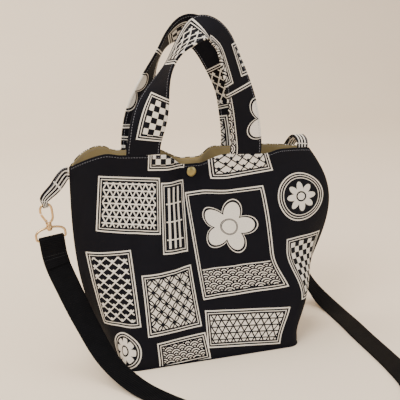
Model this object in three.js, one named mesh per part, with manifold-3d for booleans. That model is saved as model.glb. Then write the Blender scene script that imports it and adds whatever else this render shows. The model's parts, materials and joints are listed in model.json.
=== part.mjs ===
// A lined cotton tote bag with a boxed base, two handles, a snap at the mouth,
// and a clip-on webbing shoulder strap. Millimetres, +Z up, front towards -Y.
import * as THREE from 'three';
import { mergeVertices } from 'three/addons/utils/BufferGeometryUtils.js';
import ManifoldModule from 'manifold-3d';

const wasm = await ManifoldModule();
wasm.setup();

// Bag body
const baseWidth = 234;
const baseDepth = 138;
const baseCornerRadius = 17;
const baseShift = 5; // the base sits a little right of the mouth
const mouthHeight = 254; // rim height at the left leg of a handle
const snapDip = 18; // how far the rim sinks at the snap
const mouthShift = -6.5; // middle of the snap and of the handles
const earReachLeft = 155; // side seam at the rim
const earReachRight = 157;
const earHeightLeft = 241.5;
const earHeightRight = 245;
const earRise = 4; // the rim lifts between a leg and the ear
const earRiseLength = 24;
const frontMouthTilt = THREE.MathUtils.degToRad(3); // the rim sinks to the right
const backMouthTilt = THREE.MathUtils.degToRad(1.3);
const sideBulgeRight = 34; // the right side swells below the rim
const sideHipRight = 22; // and at its corners above the base
const mouthHalfGap = 20; // half opening at the handles
const clothThickness = 1.4;
const liningThickness = 0.9;
const layerGap = 0.3;
const seamHalfGap = 0.4;
const baseLiningGap = 0.9;

// Handles
const handleSpacing = 132; // between the middles of the two legs
const handleWidth = 42;
const handleThickness = 3.2;
const handleRise = 151;
const handleLean = 3; // degrees outwards
const handleClearance = 0.3;
const backHandleShift = 5; // the back handle sits a little right of the front one
// Middle line of each handle, in leg half spacings and rises.
const frontArch = [
  [-1, 0], [-1, 0.06], [-0.865, 0.385], [-0.65, 0.66], [-0.38, 0.86], [0, 1],
  [0.335, 0.925], [0.605, 0.7], [0.865, 0.385], [1, 0.06], [1, 0],
];
const backArch = [
  [-1, 0], [-1, 0.06], [-0.895, 0.385], [-0.665, 0.69], [-0.365, 0.9], [-0.045, 0.975],
  [0.305, 0.895], [0.635, 0.69], [0.925, 0.395], [1, 0.06], [1, 0],
];
// Twist of each handle in degrees, at shares of its length.
const frontTwist = [[0, 0], [0.03, 0], [0.33, 95], [0.56, 40], [0.97, 0], [1, 0]];
const backTwist = [[0, 0], [0.03, 0], [0.36, 66], [0.55, 32], [0.75, 40], [0.97, 0], [1, 0]];

// Snap at the mouth
const snapCapDiameter = 12.4;
const snapCapHeight = 2.2;
const snapDepthBelowRim = 10;
const socketDiameter = 11;
const socketHeight = 3.6;
const studBaseDiameter = 10.5;
const studBaseHeight = 1;
const studDiameter = 4;
const studHeight = 2.4;
const studClearance = 0.9;

// Strap tabs sewn into the ears
const tabWidth = 15;
const tabFoldWidth = 6.4; // gathered where the hook hangs
const tabPly = 1.4;
const tabLoopHalfGap = 3.6;
const tabSeatGap = 0.8; // hook wire to the fold below it

// Swivel hooks, in a frame with its origin at the swivel
const hookWireRadius = 1.4;
const hookHalfWidth = 6.6;
const hookHeight = 28;
const collarRadius = 3.4;
const collarHeight = 3.4;
const postRadius = 1.6;
const postHeadRadius = 2.8;
const postHeadHeight = 1.3;
const swivelClearance = 0.3;
const bossRadius = 3.6;
const bossHeight = 4.6;
const gatePivotX = -2.6;
const gatePivotZ = 8.2;
const gateTipX = -6.7;
const gateTipZ = 17;
const gateWidth = 4;
const gateDepth = 2.6;
const gateSheet = 0.8;
const tongueThickness = 1.4;
const gatePinRadius = 0.7;
const gatePinOverhang = 0.3;
const gateSpringThickness = 0.5;
const gateSpringWidth = 1.4;
const gateSpringLength = 6;
const fitGap = 0.3;

// D rings and the webbing
const ringWireRadius = 1.4;
const ringHeight = 14;
const strapWidth = 30;
const strapThickness = 2;
const ringSideGap = 1.2; // webbing edge to ring wire
const strapFoldLength = 34;
const strapPlyGap = 0.35;

// Where the swivels hang
const leftSwivel = new THREE.Vector3(-184, -1, 170);
const leftSwivelTilt = THREE.MathUtils.degToRad(-8);
const rightSwivel = new THREE.Vector3(150, 62, 178);

// Fineness of the faceted surfaces
const clothColumns = 36;
const clothRows = 10;
const handleSteps = 34;
const wireSides = 8;
const roundSides = 24;

const wallThickness = liningThickness + layerGap + clothThickness;
const wallFoot = clothThickness + layerGap;
const legHalfSpacing = handleSpacing / 2;
const legMargin = 4;
const legInner = legHalfSpacing - handleWidth / 2 - legMargin;
const legOuter = legHalfSpacing + handleWidth / 2 + legMargin;
const snapHalfGap = (socketHeight + studBaseHeight) / 2 + fitGap;
const pinchHalfWidth = snapCapDiameter / 2 + 4;
const rimAtSnap = mouthHeight - snapDip;
const snapHeight = rimAtSnap - snapDepthBelowRim;
const pinchStart = (snapHeight - snapCapDiameter / 2 - 3 - wallFoot) / (rimAtSnap - wallFoot);

const bag = new THREE.Group();
bag.name = 'tote_bag';

const canvas = new THREE.MeshStandardMaterial({ color: 0x14141c, roughness: 0.9, metalness: 0 });
const mustard = new THREE.MeshStandardMaterial({ color: 0x9a7f3c, roughness: 0.9, metalness: 0 });
const webbing = new THREE.MeshStandardMaterial({ color: 0x0c0c0e, roughness: 0.85, metalness: 0 });
const brass = new THREE.MeshStandardMaterial({ color: 0xb79a55, roughness: 0.35, metalness: 1 });
const gilt = new THREE.MeshStandardMaterial({ color: 0xd9a86a, roughness: 0.25, metalness: 1 });
const steel = new THREE.MeshStandardMaterial({ color: 0x9a9a98, roughness: 0.4, metalness: 1 });

const lerp = THREE.MathUtils.lerp;
const clamp = THREE.MathUtils.clamp;

function smooth(t) {
  const k = clamp(t, 0, 1);
  return k * k * (3 - 2 * k);
}

// A closed geometry from vertices and triangles, turned to face outwards.
function closedGeometry(points, triangles) {
  const geometry = new THREE.BufferGeometry();
  const positions = new Float32Array(points.flatMap((p) => [p.x, p.y, p.z]));
  let volume = 0;
  for (const [a, b, c] of triangles) {
    volume += points[a].dot(points[b].clone().cross(points[c]));
  }
  const facing = volume < 0 ? triangles.map(([a, b, c]) => [a, c, b]) : triangles;
  geometry.setAttribute('position', new THREE.BufferAttribute(positions, 3));
  geometry.setIndex(facing.flat());
  return geometry;
}

function addMesh(name, geometry, material, parent = bag) {
  const plain = geometry.clone();
  plain.computeVertexNormals();
  const mesh = new THREE.Mesh(plain, material);
  mesh.name = name;
  parent.add(mesh);
  return mesh;
}

// A solid swept through rings of points; a closed path joins its ends.
function sweptGeometry(rings, closedPath = false) {
  const sides = rings[0].length;
  const points = rings.flat();
  const triangles = [];
  const last = closedPath ? rings.length : rings.length - 1;
  for (let i = 0; i < last; i += 1) {
    const here = i * sides;
    const next = ((i + 1) % rings.length) * sides;
    for (let j = 0; j < sides; j += 1) {
      const k = (j + 1) % sides;
      triangles.push([here + j, here + k, next + k], [here + j, next + k, next + j]);
    }
  }
  if (!closedPath) {
    const end = (rings.length - 1) * sides;
    for (let j = 1; j < sides - 1; j += 1) {
      triangles.push([0, j + 1, j], [end, end + j, end + j + 1]);
    }
  }
  return closedGeometry(points, triangles);
}

// A round wire along points in the XZ plane.
function wireGeometry(path, radius, closedPath = false) {
  const count = path.length;
  const rings = path.map((point, i) => {
    const before = path[closedPath ? (i + count - 1) % count : Math.max(i - 1, 0)];
    const after = path[closedPath ? (i + 1) % count : Math.min(i + 1, count - 1)];
    const along = after.clone().sub(before).normalize();
    const across = new THREE.Vector3(along.z, 0, -along.x);
    const ring = [];
    for (let j = 0; j < wireSides; j += 1) {
      const angle = (2 * Math.PI * j) / wireSides;
      const offset = across.clone().multiplyScalar(radius * Math.cos(angle));
      offset.y += radius * Math.sin(angle);
      ring.push(point.clone().add(offset));
    }
    return ring;
  });
  return sweptGeometry(rings, closedPath);
}

function turnedGeometry(profile) {
  return new THREE.LatheGeometry(profile.map(([r, z]) => new THREE.Vector2(r, z)), roundSides);
}

// A rod of the given radius along Y, from y0 to y1.
function crossRod(radius, y0, y1, x, z) {
  const rod = new THREE.CylinderGeometry(radius, radius, y1 - y0, wireSides * 2);
  return rod.translate(x, (y0 + y1) / 2, z);
}

function toSolid(geometry) {
  const bare = geometry.index ? geometry.clone() : mergeVertices(geometry.clone());
  bare.deleteAttribute('normal');
  bare.deleteAttribute('uv');
  const merged = mergeVertices(bare, 1e-4);
  const vertProperties = Float32Array.from(merged.attributes.position.array);
  const triVerts = Uint32Array.from(merged.index.array);
  return new wasm.Manifold(new wasm.Mesh({ numProp: 3, vertProperties, triVerts }));
}

function fromSolid(solid) {
  const mesh = solid.getMesh();
  const geometry = new THREE.BufferGeometry();
  geometry.setAttribute('position', new THREE.BufferAttribute(Float32Array.from(mesh.vertProperties), 3));
  geometry.setIndex(Array.from(mesh.triVerts));
  return geometry;
}

// Half of the base outline, from the left seam to the right seam, at share f of its length.
function basePoint(f) {
  const halfWidth = baseWidth / 2 - wallThickness;
  const halfDepth = baseDepth / 2 - wallThickness;
  const radius = baseCornerRadius - wallThickness;
  const side = halfDepth - radius - seamHalfGap;
  const arc = (Math.PI / 2) * radius;
  const front = 2 * (halfWidth - radius);
  const half = side + arc + front / 2;
  const run = (f <= 0.5 ? f : 1 - f) * 2 * half;
  const mirror = f <= 0.5 ? -1 : 1;
  if (run <= side) {
    return new THREE.Vector2(baseShift + mirror * halfWidth, seamHalfGap + run);
  }
  if (run <= side + arc) {
    const angle = (run - side) / radius;
    const x = halfWidth - radius + radius * Math.cos(angle);
    return new THREE.Vector2(baseShift + mirror * x, halfDepth - radius + radius * Math.sin(angle));
  }
  return new THREE.Vector2(baseShift + mirror * (halfWidth - radius - (run - side - arc)), halfDepth);
}

// Height of the line that the handles are sewn along, at x from the snap.
function sewnHeight(side, x) {
  const tilt = side < 0 ? frontMouthTilt : backMouthTilt;
  return mouthHeight - Math.tan(tilt) * (clamp(x, -legOuter, legOuter) + legHalfSpacing);
}

// The rim: pinched at the snap, open at the handles, closed at the ears.
function rimAt(side, f) {
  const left = f < 0.5;
  const reach = left ? earReachLeft + mouthShift : earReachRight - mouthShift;
  const x = Math.abs(2 * f - 1) * reach;
  const open = smooth((x - pinchHalfWidth) / (legInner - pinchHalfWidth));
  const beyond = clamp((x - legOuter) / (reach - legOuter), 0, 1);
  const shut = beyond ** (left ? 3 - side : 1.6);
  const away = left ? -x : x;
  const lift = left || side < 0 ? earRise * smooth((x - legOuter) / earRiseLength) : 0;
  const sewn = lerp(rimAtSnap, sewnHeight(side, away), open) + lift;
  return {
    x: mouthShift + away,
    y: lerp(lerp(snapHalfGap, mouthHalfGap, open), seamHalfGap, shut),
    z: lerp(sewn, left ? earHeightLeft : earHeightRight, beyond ** (left ? 3.2 + 0.5 * side : 3)),
  };
}

// A point of the inmost cloth face; side is -1 for the front and 1 for the back.
function wallPoint(side, f, v) {
  const foot = basePoint(f);
  const rim = rimAt(side, f);
  const spread = 1 - (1 - v) ** 3;
  const lean = Math.min(1, v / pinchStart) ** 1.25;
  const rightShare = Math.max(0, 2 * f - 1);
  const swell = sideBulgeRight * Math.sin(Math.PI * v ** 1.8) * rightShare ** 2;
  const low = Math.sin(Math.PI * Math.min(1, 2 * v)) ** 2;
  const hip = sideHipRight * low * Math.sin(Math.PI * rightShare ** 1.6);
  const x = lerp(foot.x, rim.x, spread) + swell + hip;
  const y = side * lerp(foot.y, rim.y, lean);
  return new THREE.Vector3(x, y, lerp(wallFoot, rim.z, v));
}

// The level direction that points out of the wall.
function wallOut(side, f, v) {
  const step = 0.002;
  const before = wallPoint(side, Math.max(0, f - step), v);
  const after = wallPoint(side, Math.min(1, f + step), v);
  const along = after.sub(before);
  return new THREE.Vector3(-side * along.y, side * along.x, 0).normalize();
}

function outerWallPoint(side, f, v) {
  return wallPoint(side, f, v).addScaledVector(wallOut(side, f, v), wallThickness);
}

// A wall layer between two distances out from the inmost face.
function wallGeometry(side, near, far) {
  const columns = clothColumns;
  const rows = clothRows;
  const points = [];
  for (const distance of [near, far]) {
    for (let i = 0; i <= rows; i += 1) {
      for (let j = 0; j <= columns; j += 1) {
        const f = j / columns;
        const v = i < rows ? (pinchStart * i) / (rows - 1) : 1;
        points.push(wallPoint(side, f, v).addScaledVector(wallOut(side, f, v), distance));
      }
    }
  }
  const perRow = columns + 1;
  const perFace = perRow * (rows + 1);
  const triangles = [];
  for (let i = 0; i < rows; i += 1) {
    for (let j = 0; j < columns; j += 1) {
      const a = i * perRow + j;
      const b = a + 1;
      const c = a + perRow + 1;
      const d = a + perRow;
      triangles.push([a, b, c], [a, c, d]);
      triangles.push([perFace + a, perFace + c, perFace + b], [perFace + a, perFace + d, perFace + c]);
    }
  }
  const border = [];
  for (let j = 0; j < columns; j += 1) border.push(j);
  for (let i = 0; i < rows; i += 1) border.push(i * perRow + columns);
  for (let j = columns; j > 0; j -= 1) border.push(rows * perRow + j);
  for (let i = rows; i > 0; i -= 1) border.push(i * perRow);
  border.forEach((a, n) => {
    const b = border[(n + 1) % border.length];
    triangles.push([a, perFace + b, b], [a, perFace + a, perFace + b]);
  });
  return closedGeometry(points, triangles);
}

// A flat rounded rectangle, lying level.
function basePlate(width, depth, radius, thickness) {
  const x = width / 2;
  const y = depth / 2;
  const outline = new THREE.Shape();
  outline.moveTo(-x + radius, -y);
  outline.lineTo(x - radius, -y);
  outline.absarc(x - radius, -y + radius, radius, -Math.PI / 2, 0, false);
  outline.lineTo(x, y - radius);
  outline.absarc(x - radius, y - radius, radius, 0, Math.PI / 2, false);
  outline.lineTo(-x + radius, y);
  outline.absarc(-x + radius, y - radius, radius, Math.PI / 2, Math.PI, false);
  outline.lineTo(-x, -y + radius);
  outline.absarc(-x + radius, -y + radius, radius, Math.PI, 1.5 * Math.PI, false);
  return new THREE.ExtrudeGeometry(outline, { depth: thickness, bevelEnabled: false, curveSegments: 6 });
}

function makeBody() {
  const clothNear = liningThickness + layerGap;
  addMesh('front_panel', wallGeometry(-1, clothNear, wallThickness), canvas);
  addMesh('back_panel', wallGeometry(1, clothNear, wallThickness), canvas);
  addMesh('front_lining', wallGeometry(-1, 0, liningThickness), mustard);
  addMesh('back_lining', wallGeometry(1, 0, liningThickness), mustard);
  const base = basePlate(baseWidth, baseDepth, baseCornerRadius, clothThickness);
  addMesh('base_panel', base.translate(baseShift, 0, 0), canvas);
  const inset = wallThickness + baseLiningGap;
  const lining = basePlate(
    baseWidth - 2 * inset,
    baseDepth - 2 * inset,
    baseCornerRadius - inset,
    liningThickness,
  );
  addMesh('base_lining', lining.translate(baseShift, 0, wallFoot), mustard);
}

// The twist at share t of a handle, eased between the listed shares.
function twistAt(list, t) {
  const next = Math.max(1, list.findIndex(([share]) => share >= t));
  const [fromShare, fromTwist] = list[next - 1];
  const [toShare, toTwist] = list[next];
  return THREE.MathUtils.degToRad(lerp(fromTwist, toTwist, smooth((t - fromShare) / (toShare - fromShare))));
}

// A handle: a flat strap that rises from two legs, twists at the shoulders and arches over.
function makeHandle(name, side, shift, tilt, archPoints, twists) {
  const legY = mouthHalfGap + wallThickness / 2;
  const group = new THREE.Group();
  group.position.set(mouthShift + shift, 0, sewnHeight(side, shift) + handleClearance);
  group.rotation.y = tilt;
  bag.add(group);
  const arch = new THREE.CatmullRomCurve3(archPoints.map(([across, up]) => (
    new THREE.Vector3(across * legHalfSpacing, 0, up * handleRise))));
  const lean = Math.tan(THREE.MathUtils.degToRad(handleLean));
  const level = handleThickness / 2;
  const rings = [];
  const addRing = (t, thickness) => {
    const point = arch.getPointAt(t);
    const along = arch.getTangentAt(t);
    const out = new THREE.Vector3(-along.z, 0, along.x);
    const settled = smooth(Math.min(t, 1 - t) / 0.14);
    const twist = twistAt(twists, t);
    const level0 = new THREE.Vector3(t < 0.5 ? -1 : 1, 0, 0);
    const flat = level0.lerp(out, settled).normalize();
    const across = flat.multiplyScalar(Math.cos(twist));
    across.y += -side * Math.sin(twist);
    const through = new THREE.Vector3().crossVectors(along, across).normalize();
    const place = new THREE.Vector3(point.x, side * (legY + lean * point.z), point.z);
    const edge = handleWidth / 2;
    const cut = edge - handleThickness / 3;
    const half = thickness / 2;
    const corners = [[edge, 0], [cut, half], [-cut, half], [-edge, 0], [-cut, -half], [cut, -half]];
    rings.push(corners.map(([w, h]) => place.clone()
      .addScaledVector(across, w)
      .addScaledVector(through, h)));
  };
  const length = arch.getLength();
  const ends = level / length;
  addRing(0, handleThickness * 0.25);
  for (let i = 0; i <= handleSteps; i += 1) {
    addRing(lerp(ends, 1 - ends, i / handleSteps), handleThickness);
  }
  addRing(1, handleThickness * 0.25);
  addMesh(name, sweptGeometry(rings), canvas, group);
}

// The press snap: a cap outside each wall, the socket and the stud between the linings.
function makeSnap() {
  const capFace = snapHalfGap + wallThickness + fitGap;
  const capRadius = snapCapDiameter / 2;
  const capProfile = [
    [0, 0],
    [capRadius - 0.4, 0],
    [capRadius, 0.4],
    [capRadius, 0.9],
    [capRadius * 0.8, snapCapHeight * 0.78],
    [capRadius * 0.45, snapCapHeight * 0.96],
    [0, snapCapHeight],
  ];
  const socketRadius = socketDiameter / 2;
  const boreRadius = studDiameter / 2 + studClearance;
  const boreDepth = studHeight + fitGap;
  const socketProfile = [
    [0, 0],
    [socketRadius, 0],
    [socketRadius, socketHeight * 0.4],
    [socketRadius * 0.72, socketHeight],
    [boreRadius, socketHeight],
    [boreRadius, socketHeight - boreDepth],
    [0, socketHeight - boreDepth],
  ];
  const studRadius = studDiameter / 2;
  const studBaseRadius = studBaseDiameter / 2;
  const studProfile = [
    [0, 0],
    [studBaseRadius, 0],
    [studBaseRadius * 0.9, studBaseHeight],
    [studRadius * 0.8, studBaseHeight],
    [studRadius, studBaseHeight + studHeight * 0.6],
    [studRadius * 0.7, studBaseHeight + studHeight],
    [0, studBaseHeight + studHeight],
  ];
  // Each profile turns about Z, which the lathe calls Y: it comes out along +Y.
  const place = (name, profile, y, towardsBack) => {
    const group = new THREE.Group();
    group.position.set(mouthShift, y, snapHeight);
    group.rotation.x = towardsBack ? 0 : Math.PI;
    bag.add(group);
    addMesh(name, turnedGeometry(profile), brass, group);
  };
  place('snap_cap', capProfile, -capFace, false);
  place('snap_back_cap', capProfile, capFace, true);
  place('snap_socket', socketProfile, -snapHalfGap + fitGap / 2, true);
  place('snap_stud', studProfile, snapHalfGap - fitGap / 2, false);
}

// A strap tab: a strip that leaves the ear, passes under the bow of the hook and comes back.
function makeTab(name, route, widthAt) {
  const curve = new THREE.CatmullRomCurve3(route);
  const steps = 9;
  const foldSteps = 6;
  const near = (tabPly + layerGap) / 2;
  const far = tabLoopHalfGap + tabPly / 2;
  const stations = [];
  for (let i = 0; i <= steps; i += 1) {
    const t = i / steps;
    const along = curve.getTangent(t);
    const across = widthAt(along);
    stations.push({
      point: curve.getPoint(t),
      across,
      apart: new THREE.Vector3().crossVectors(along, across).normalize(),
      offset: lerp(near, far, smooth((t - 0.3) / 0.7)),
      width: lerp(tabWidth, tabFoldWidth, smooth((t - 0.35) / 0.65)),
      along,
    });
  }
  const rings = [];
  const addRing = (centre, across, through, width) => {
    const w = width / 2;
    const h = tabPly / 2;
    const corners = [[w, h], [-w, h], [-w, -h], [w, -h]];
    rings.push(corners.map(([a, b]) => centre.clone()
      .addScaledVector(across, a)
      .addScaledVector(through, b)));
  };
  stations.forEach((s) => {
    addRing(s.point.clone().addScaledVector(s.apart, -s.offset), s.across, s.apart.clone().negate(), s.width);
  });
  const end = stations[steps];
  for (let i = 1; i < foldSteps; i += 1) {
    const angle = (Math.PI * i) / foldSteps;
    const radial = end.apart.clone().multiplyScalar(-Math.cos(angle));
    radial.addScaledVector(end.along, Math.sin(angle));
    addRing(end.point.clone().addScaledVector(radial, far), end.across, radial, end.width);
  }
  stations.reverse().forEach((s) => {
    addRing(s.point.clone().addScaledVector(s.apart, s.offset), s.across, s.apart, s.width);
  });
  addMesh(name, sweptGeometry(rings), canvas);
}

// The highest wire of the bow sits this far above the middle of the tab's fold.
const bowAboveFold = -(tabLoopHalfGap - tabSeatGap - hookWireRadius);
const bowTop = new THREE.Vector3(0, 0, hookHeight);

function makeTabs() {
  const down = new THREE.Vector3(0, 0, -1);
  const level = new THREE.Vector3(0, 1, 0);
  const earGap = tabPly;

  const leftDown = down.clone().applyAxisAngle(level, leftSwivelTilt);
  const leftBow = bowTop.clone().applyAxisAngle(level, leftSwivelTilt).add(leftSwivel);
  const leftFold = leftBow.clone().addScaledVector(leftDown, bowAboveFold);
  const leftEar = outerWallPoint(-1, 0, 1);
  const leftStart = new THREE.Vector3(leftEar.x - earGap, 0, leftEar.z - tabWidth / 2);
  const leftRoute = [
    leftStart,
    leftStart.clone().add(new THREE.Vector3(-4, 0, -0.5)),
    leftStart.clone().lerp(leftFold, 0.5).add(new THREE.Vector3(-1.5, 0, 1.5)),
    leftFold.clone().addScaledVector(leftDown, -5),
    leftFold,
  ];
  makeTab('left_tab', leftRoute, (along) => new THREE.Vector3().crossVectors(level, along).normalize());

  const sideways = new THREE.Vector3(1, 0, 0);
  const rightBow = bowTop.clone().add(rightSwivel);
  const rightFold = rightBow.clone().addScaledVector(down, bowAboveFold);
  const rightRim = rimAt(1, 1);
  const tabX = rightSwivel.x;
  const rightRoute = [
    new THREE.Vector3(rightRim.x - tabWidth / 2, 0, rightRim.z + 0.7 * earGap),
    new THREE.Vector3(rightRim.x - tabWidth / 2, 2, rightRim.z + earGap + 8),
    new THREE.Vector3(tabX - 0.5, rightSwivel.y * 0.25, rightRim.z + 14),
    new THREE.Vector3(tabX, rightSwivel.y * 0.72, rightRim.z - 6),
    rightFold.clone().addScaledVector(down, -5),
    rightFold,
  ];
  makeTab('right_tab', rightRoute, (along) => {
    const across = sideways.clone().addScaledVector(along, -sideways.dot(along));
    return across.normalize();
  });
}

// One swivel hook with its gate, pin and spring, and the D ring it turns in.
function makeHardware(prefix, position, tilt) {
  const group = new THREE.Group();
  group.position.copy(position);
  group.rotation.y = tilt;
  bag.add(group);
  const upright = (geometry) => geometry.rotateX(Math.PI / 2);

  const collarFoot = bossHeight / 2 + swivelClearance;
  const collarTop = collarFoot + collarHeight;
  const headTop = -bossHeight / 2 - swivelClearance;
  const post = upright(turnedGeometry([
    [0, headTop - postHeadHeight],
    [postHeadRadius, headTop - postHeadHeight],
    [postHeadRadius, headTop],
    [postRadius, headTop],
    [postRadius, collarFoot],
    [collarRadius, collarFoot],
    [collarRadius, collarTop - 1],
    [collarRadius - 1, collarTop],
    [0, collarTop],
  ]));
  const bow = new THREE.CatmullRomCurve3([
    new THREE.Vector3(1.2, 0, collarTop - 0.8),
    new THREE.Vector3(0.82 * hookHalfWidth, 0, collarTop + 3.4),
    new THREE.Vector3(hookHalfWidth, 0, 0.68 * hookHeight),
    new THREE.Vector3(0.92 * hookHalfWidth, 0, 0.89 * hookHeight),
    new THREE.Vector3(0.56 * hookHalfWidth, 0, hookHeight),
    new THREE.Vector3(0, 0, hookHeight),
    new THREE.Vector3(-0.56 * hookHalfWidth, 0, hookHeight),
    new THREE.Vector3(-0.98 * hookHalfWidth, 0, 0.88 * hookHeight),
    new THREE.Vector3(-1.08 * hookHalfWidth, 0, 0.72 * hookHeight),
    new THREE.Vector3(gateTipX, 0, gateTipZ + gateDepth / 2 + fitGap),
  ]);
  const bowWire = wireGeometry(bow.getPoints(26), hookWireRadius);
  const tongueHeight = gatePivotZ - collarTop + 1.6;
  const tongue = new THREE.BoxGeometry(2.6, tongueThickness, tongueHeight + 1);
  tongue.translate(gatePivotX + 0.4, 0, collarTop - 1 + (tongueHeight + 1) / 2);
  const pinHole = crossRod(gatePinRadius + fitGap, -gateWidth, gateWidth, gatePivotX, gatePivotZ);
  const body = toSolid(post).add(toSolid(bowWire)).add(toSolid(tongue)).subtract(toSolid(pinHole));
  addMesh(`${prefix}_hook_body`, fromSolid(body), gilt, group);

  // The gate is a pressed channel that straddles the tongue; its own frame runs along its length.
  const gateLength = Math.hypot(gateTipX - gatePivotX, gateTipZ - gatePivotZ);
  const gateAngle = Math.atan2(gateTipX - gatePivotX, gateTipZ - gatePivotZ);
  const heel = gateDepth / 2 + 0.2;
  const channel = new THREE.BoxGeometry(gateDepth, gateWidth, gateLength + heel);
  channel.translate(0, 0, (gateLength - heel) / 2);
  const hollow = new THREE.BoxGeometry(gateDepth, gateWidth - 2 * gateSheet, gateLength + 2 * heel);
  hollow.translate(gateSheet, 0, gateLength / 2 - heel - gateSheet);
  const gateHole = crossRod(gatePinRadius + fitGap, -gateWidth, gateWidth, 0, 0);
  const heelHollow = new THREE.BoxGeometry(2 * gateDepth, gateWidth - 2 * gateSheet, 2 * heel + 3);
  const gateSolid = toSolid(channel).subtract(toSolid(hollow)).subtract(toSolid(gateHole))
    .subtract(toSolid(heelHollow));
  const gateFrame = new THREE.Group();
  gateFrame.position.set(gatePivotX, 0, gatePivotZ);
  gateFrame.rotation.y = gateAngle;
  group.add(gateFrame);
  addMesh(`${prefix}_hook_gate`, fromSolid(gateSolid), gilt, gateFrame);

  const pinHalf = gateWidth / 2 + gatePinOverhang;
  const pin = crossRod(gatePinRadius, -pinHalf, pinHalf, gatePivotX, gatePivotZ);
  addMesh(`${prefix}_gate_pin`, pin, steel, group);

  const spring = new THREE.BoxGeometry(gateSpringThickness, gateSpringWidth, gateSpringLength);
  const springX = -gateDepth / 2 + gateSheet + fitGap + gateSpringThickness / 2;
  spring.translate(springX, 0, gateLength - fitGap - gateSheet - gateSpringLength / 2);
  addMesh(`${prefix}_gate_spring`, spring, steel, gateFrame);

  const halfBar = strapWidth / 2 + ringSideGap + ringWireRadius;
  const path = [];
  const archSteps = 16;
  const archFoot = -0.62 * ringHeight;
  for (let i = 0; i <= archSteps; i += 1) {
    const angle = Math.PI - (Math.PI * i) / archSteps;
    path.push(new THREE.Vector3(halfBar * Math.cos(angle), 0, archFoot - archFoot * Math.sin(angle) ** 0.8));
  }
  const corner = 2.2;
  path.push(new THREE.Vector3(halfBar, 0, -ringHeight + corner));
  path.push(new THREE.Vector3(halfBar - corner, 0, -ringHeight));
  path.push(new THREE.Vector3(-halfBar + corner, 0, -ringHeight));
  path.push(new THREE.Vector3(-halfBar, 0, -ringHeight + corner));
  const boss = upright(new THREE.CylinderGeometry(bossRadius, bossRadius, bossHeight, roundSides));
  const bore = upright(new THREE.CylinderGeometry(
    postRadius + swivelClearance,
    postRadius + swivelClearance,
    2 * bossHeight,
    roundSides,
  ));
  const ring = toSolid(wireGeometry(path, ringWireRadius, true)).add(toSolid(boss)).subtract(toSolid(bore));
  addMesh(`${prefix}_strap_ring`, fromSolid(ring), gilt, group);
}

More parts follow.
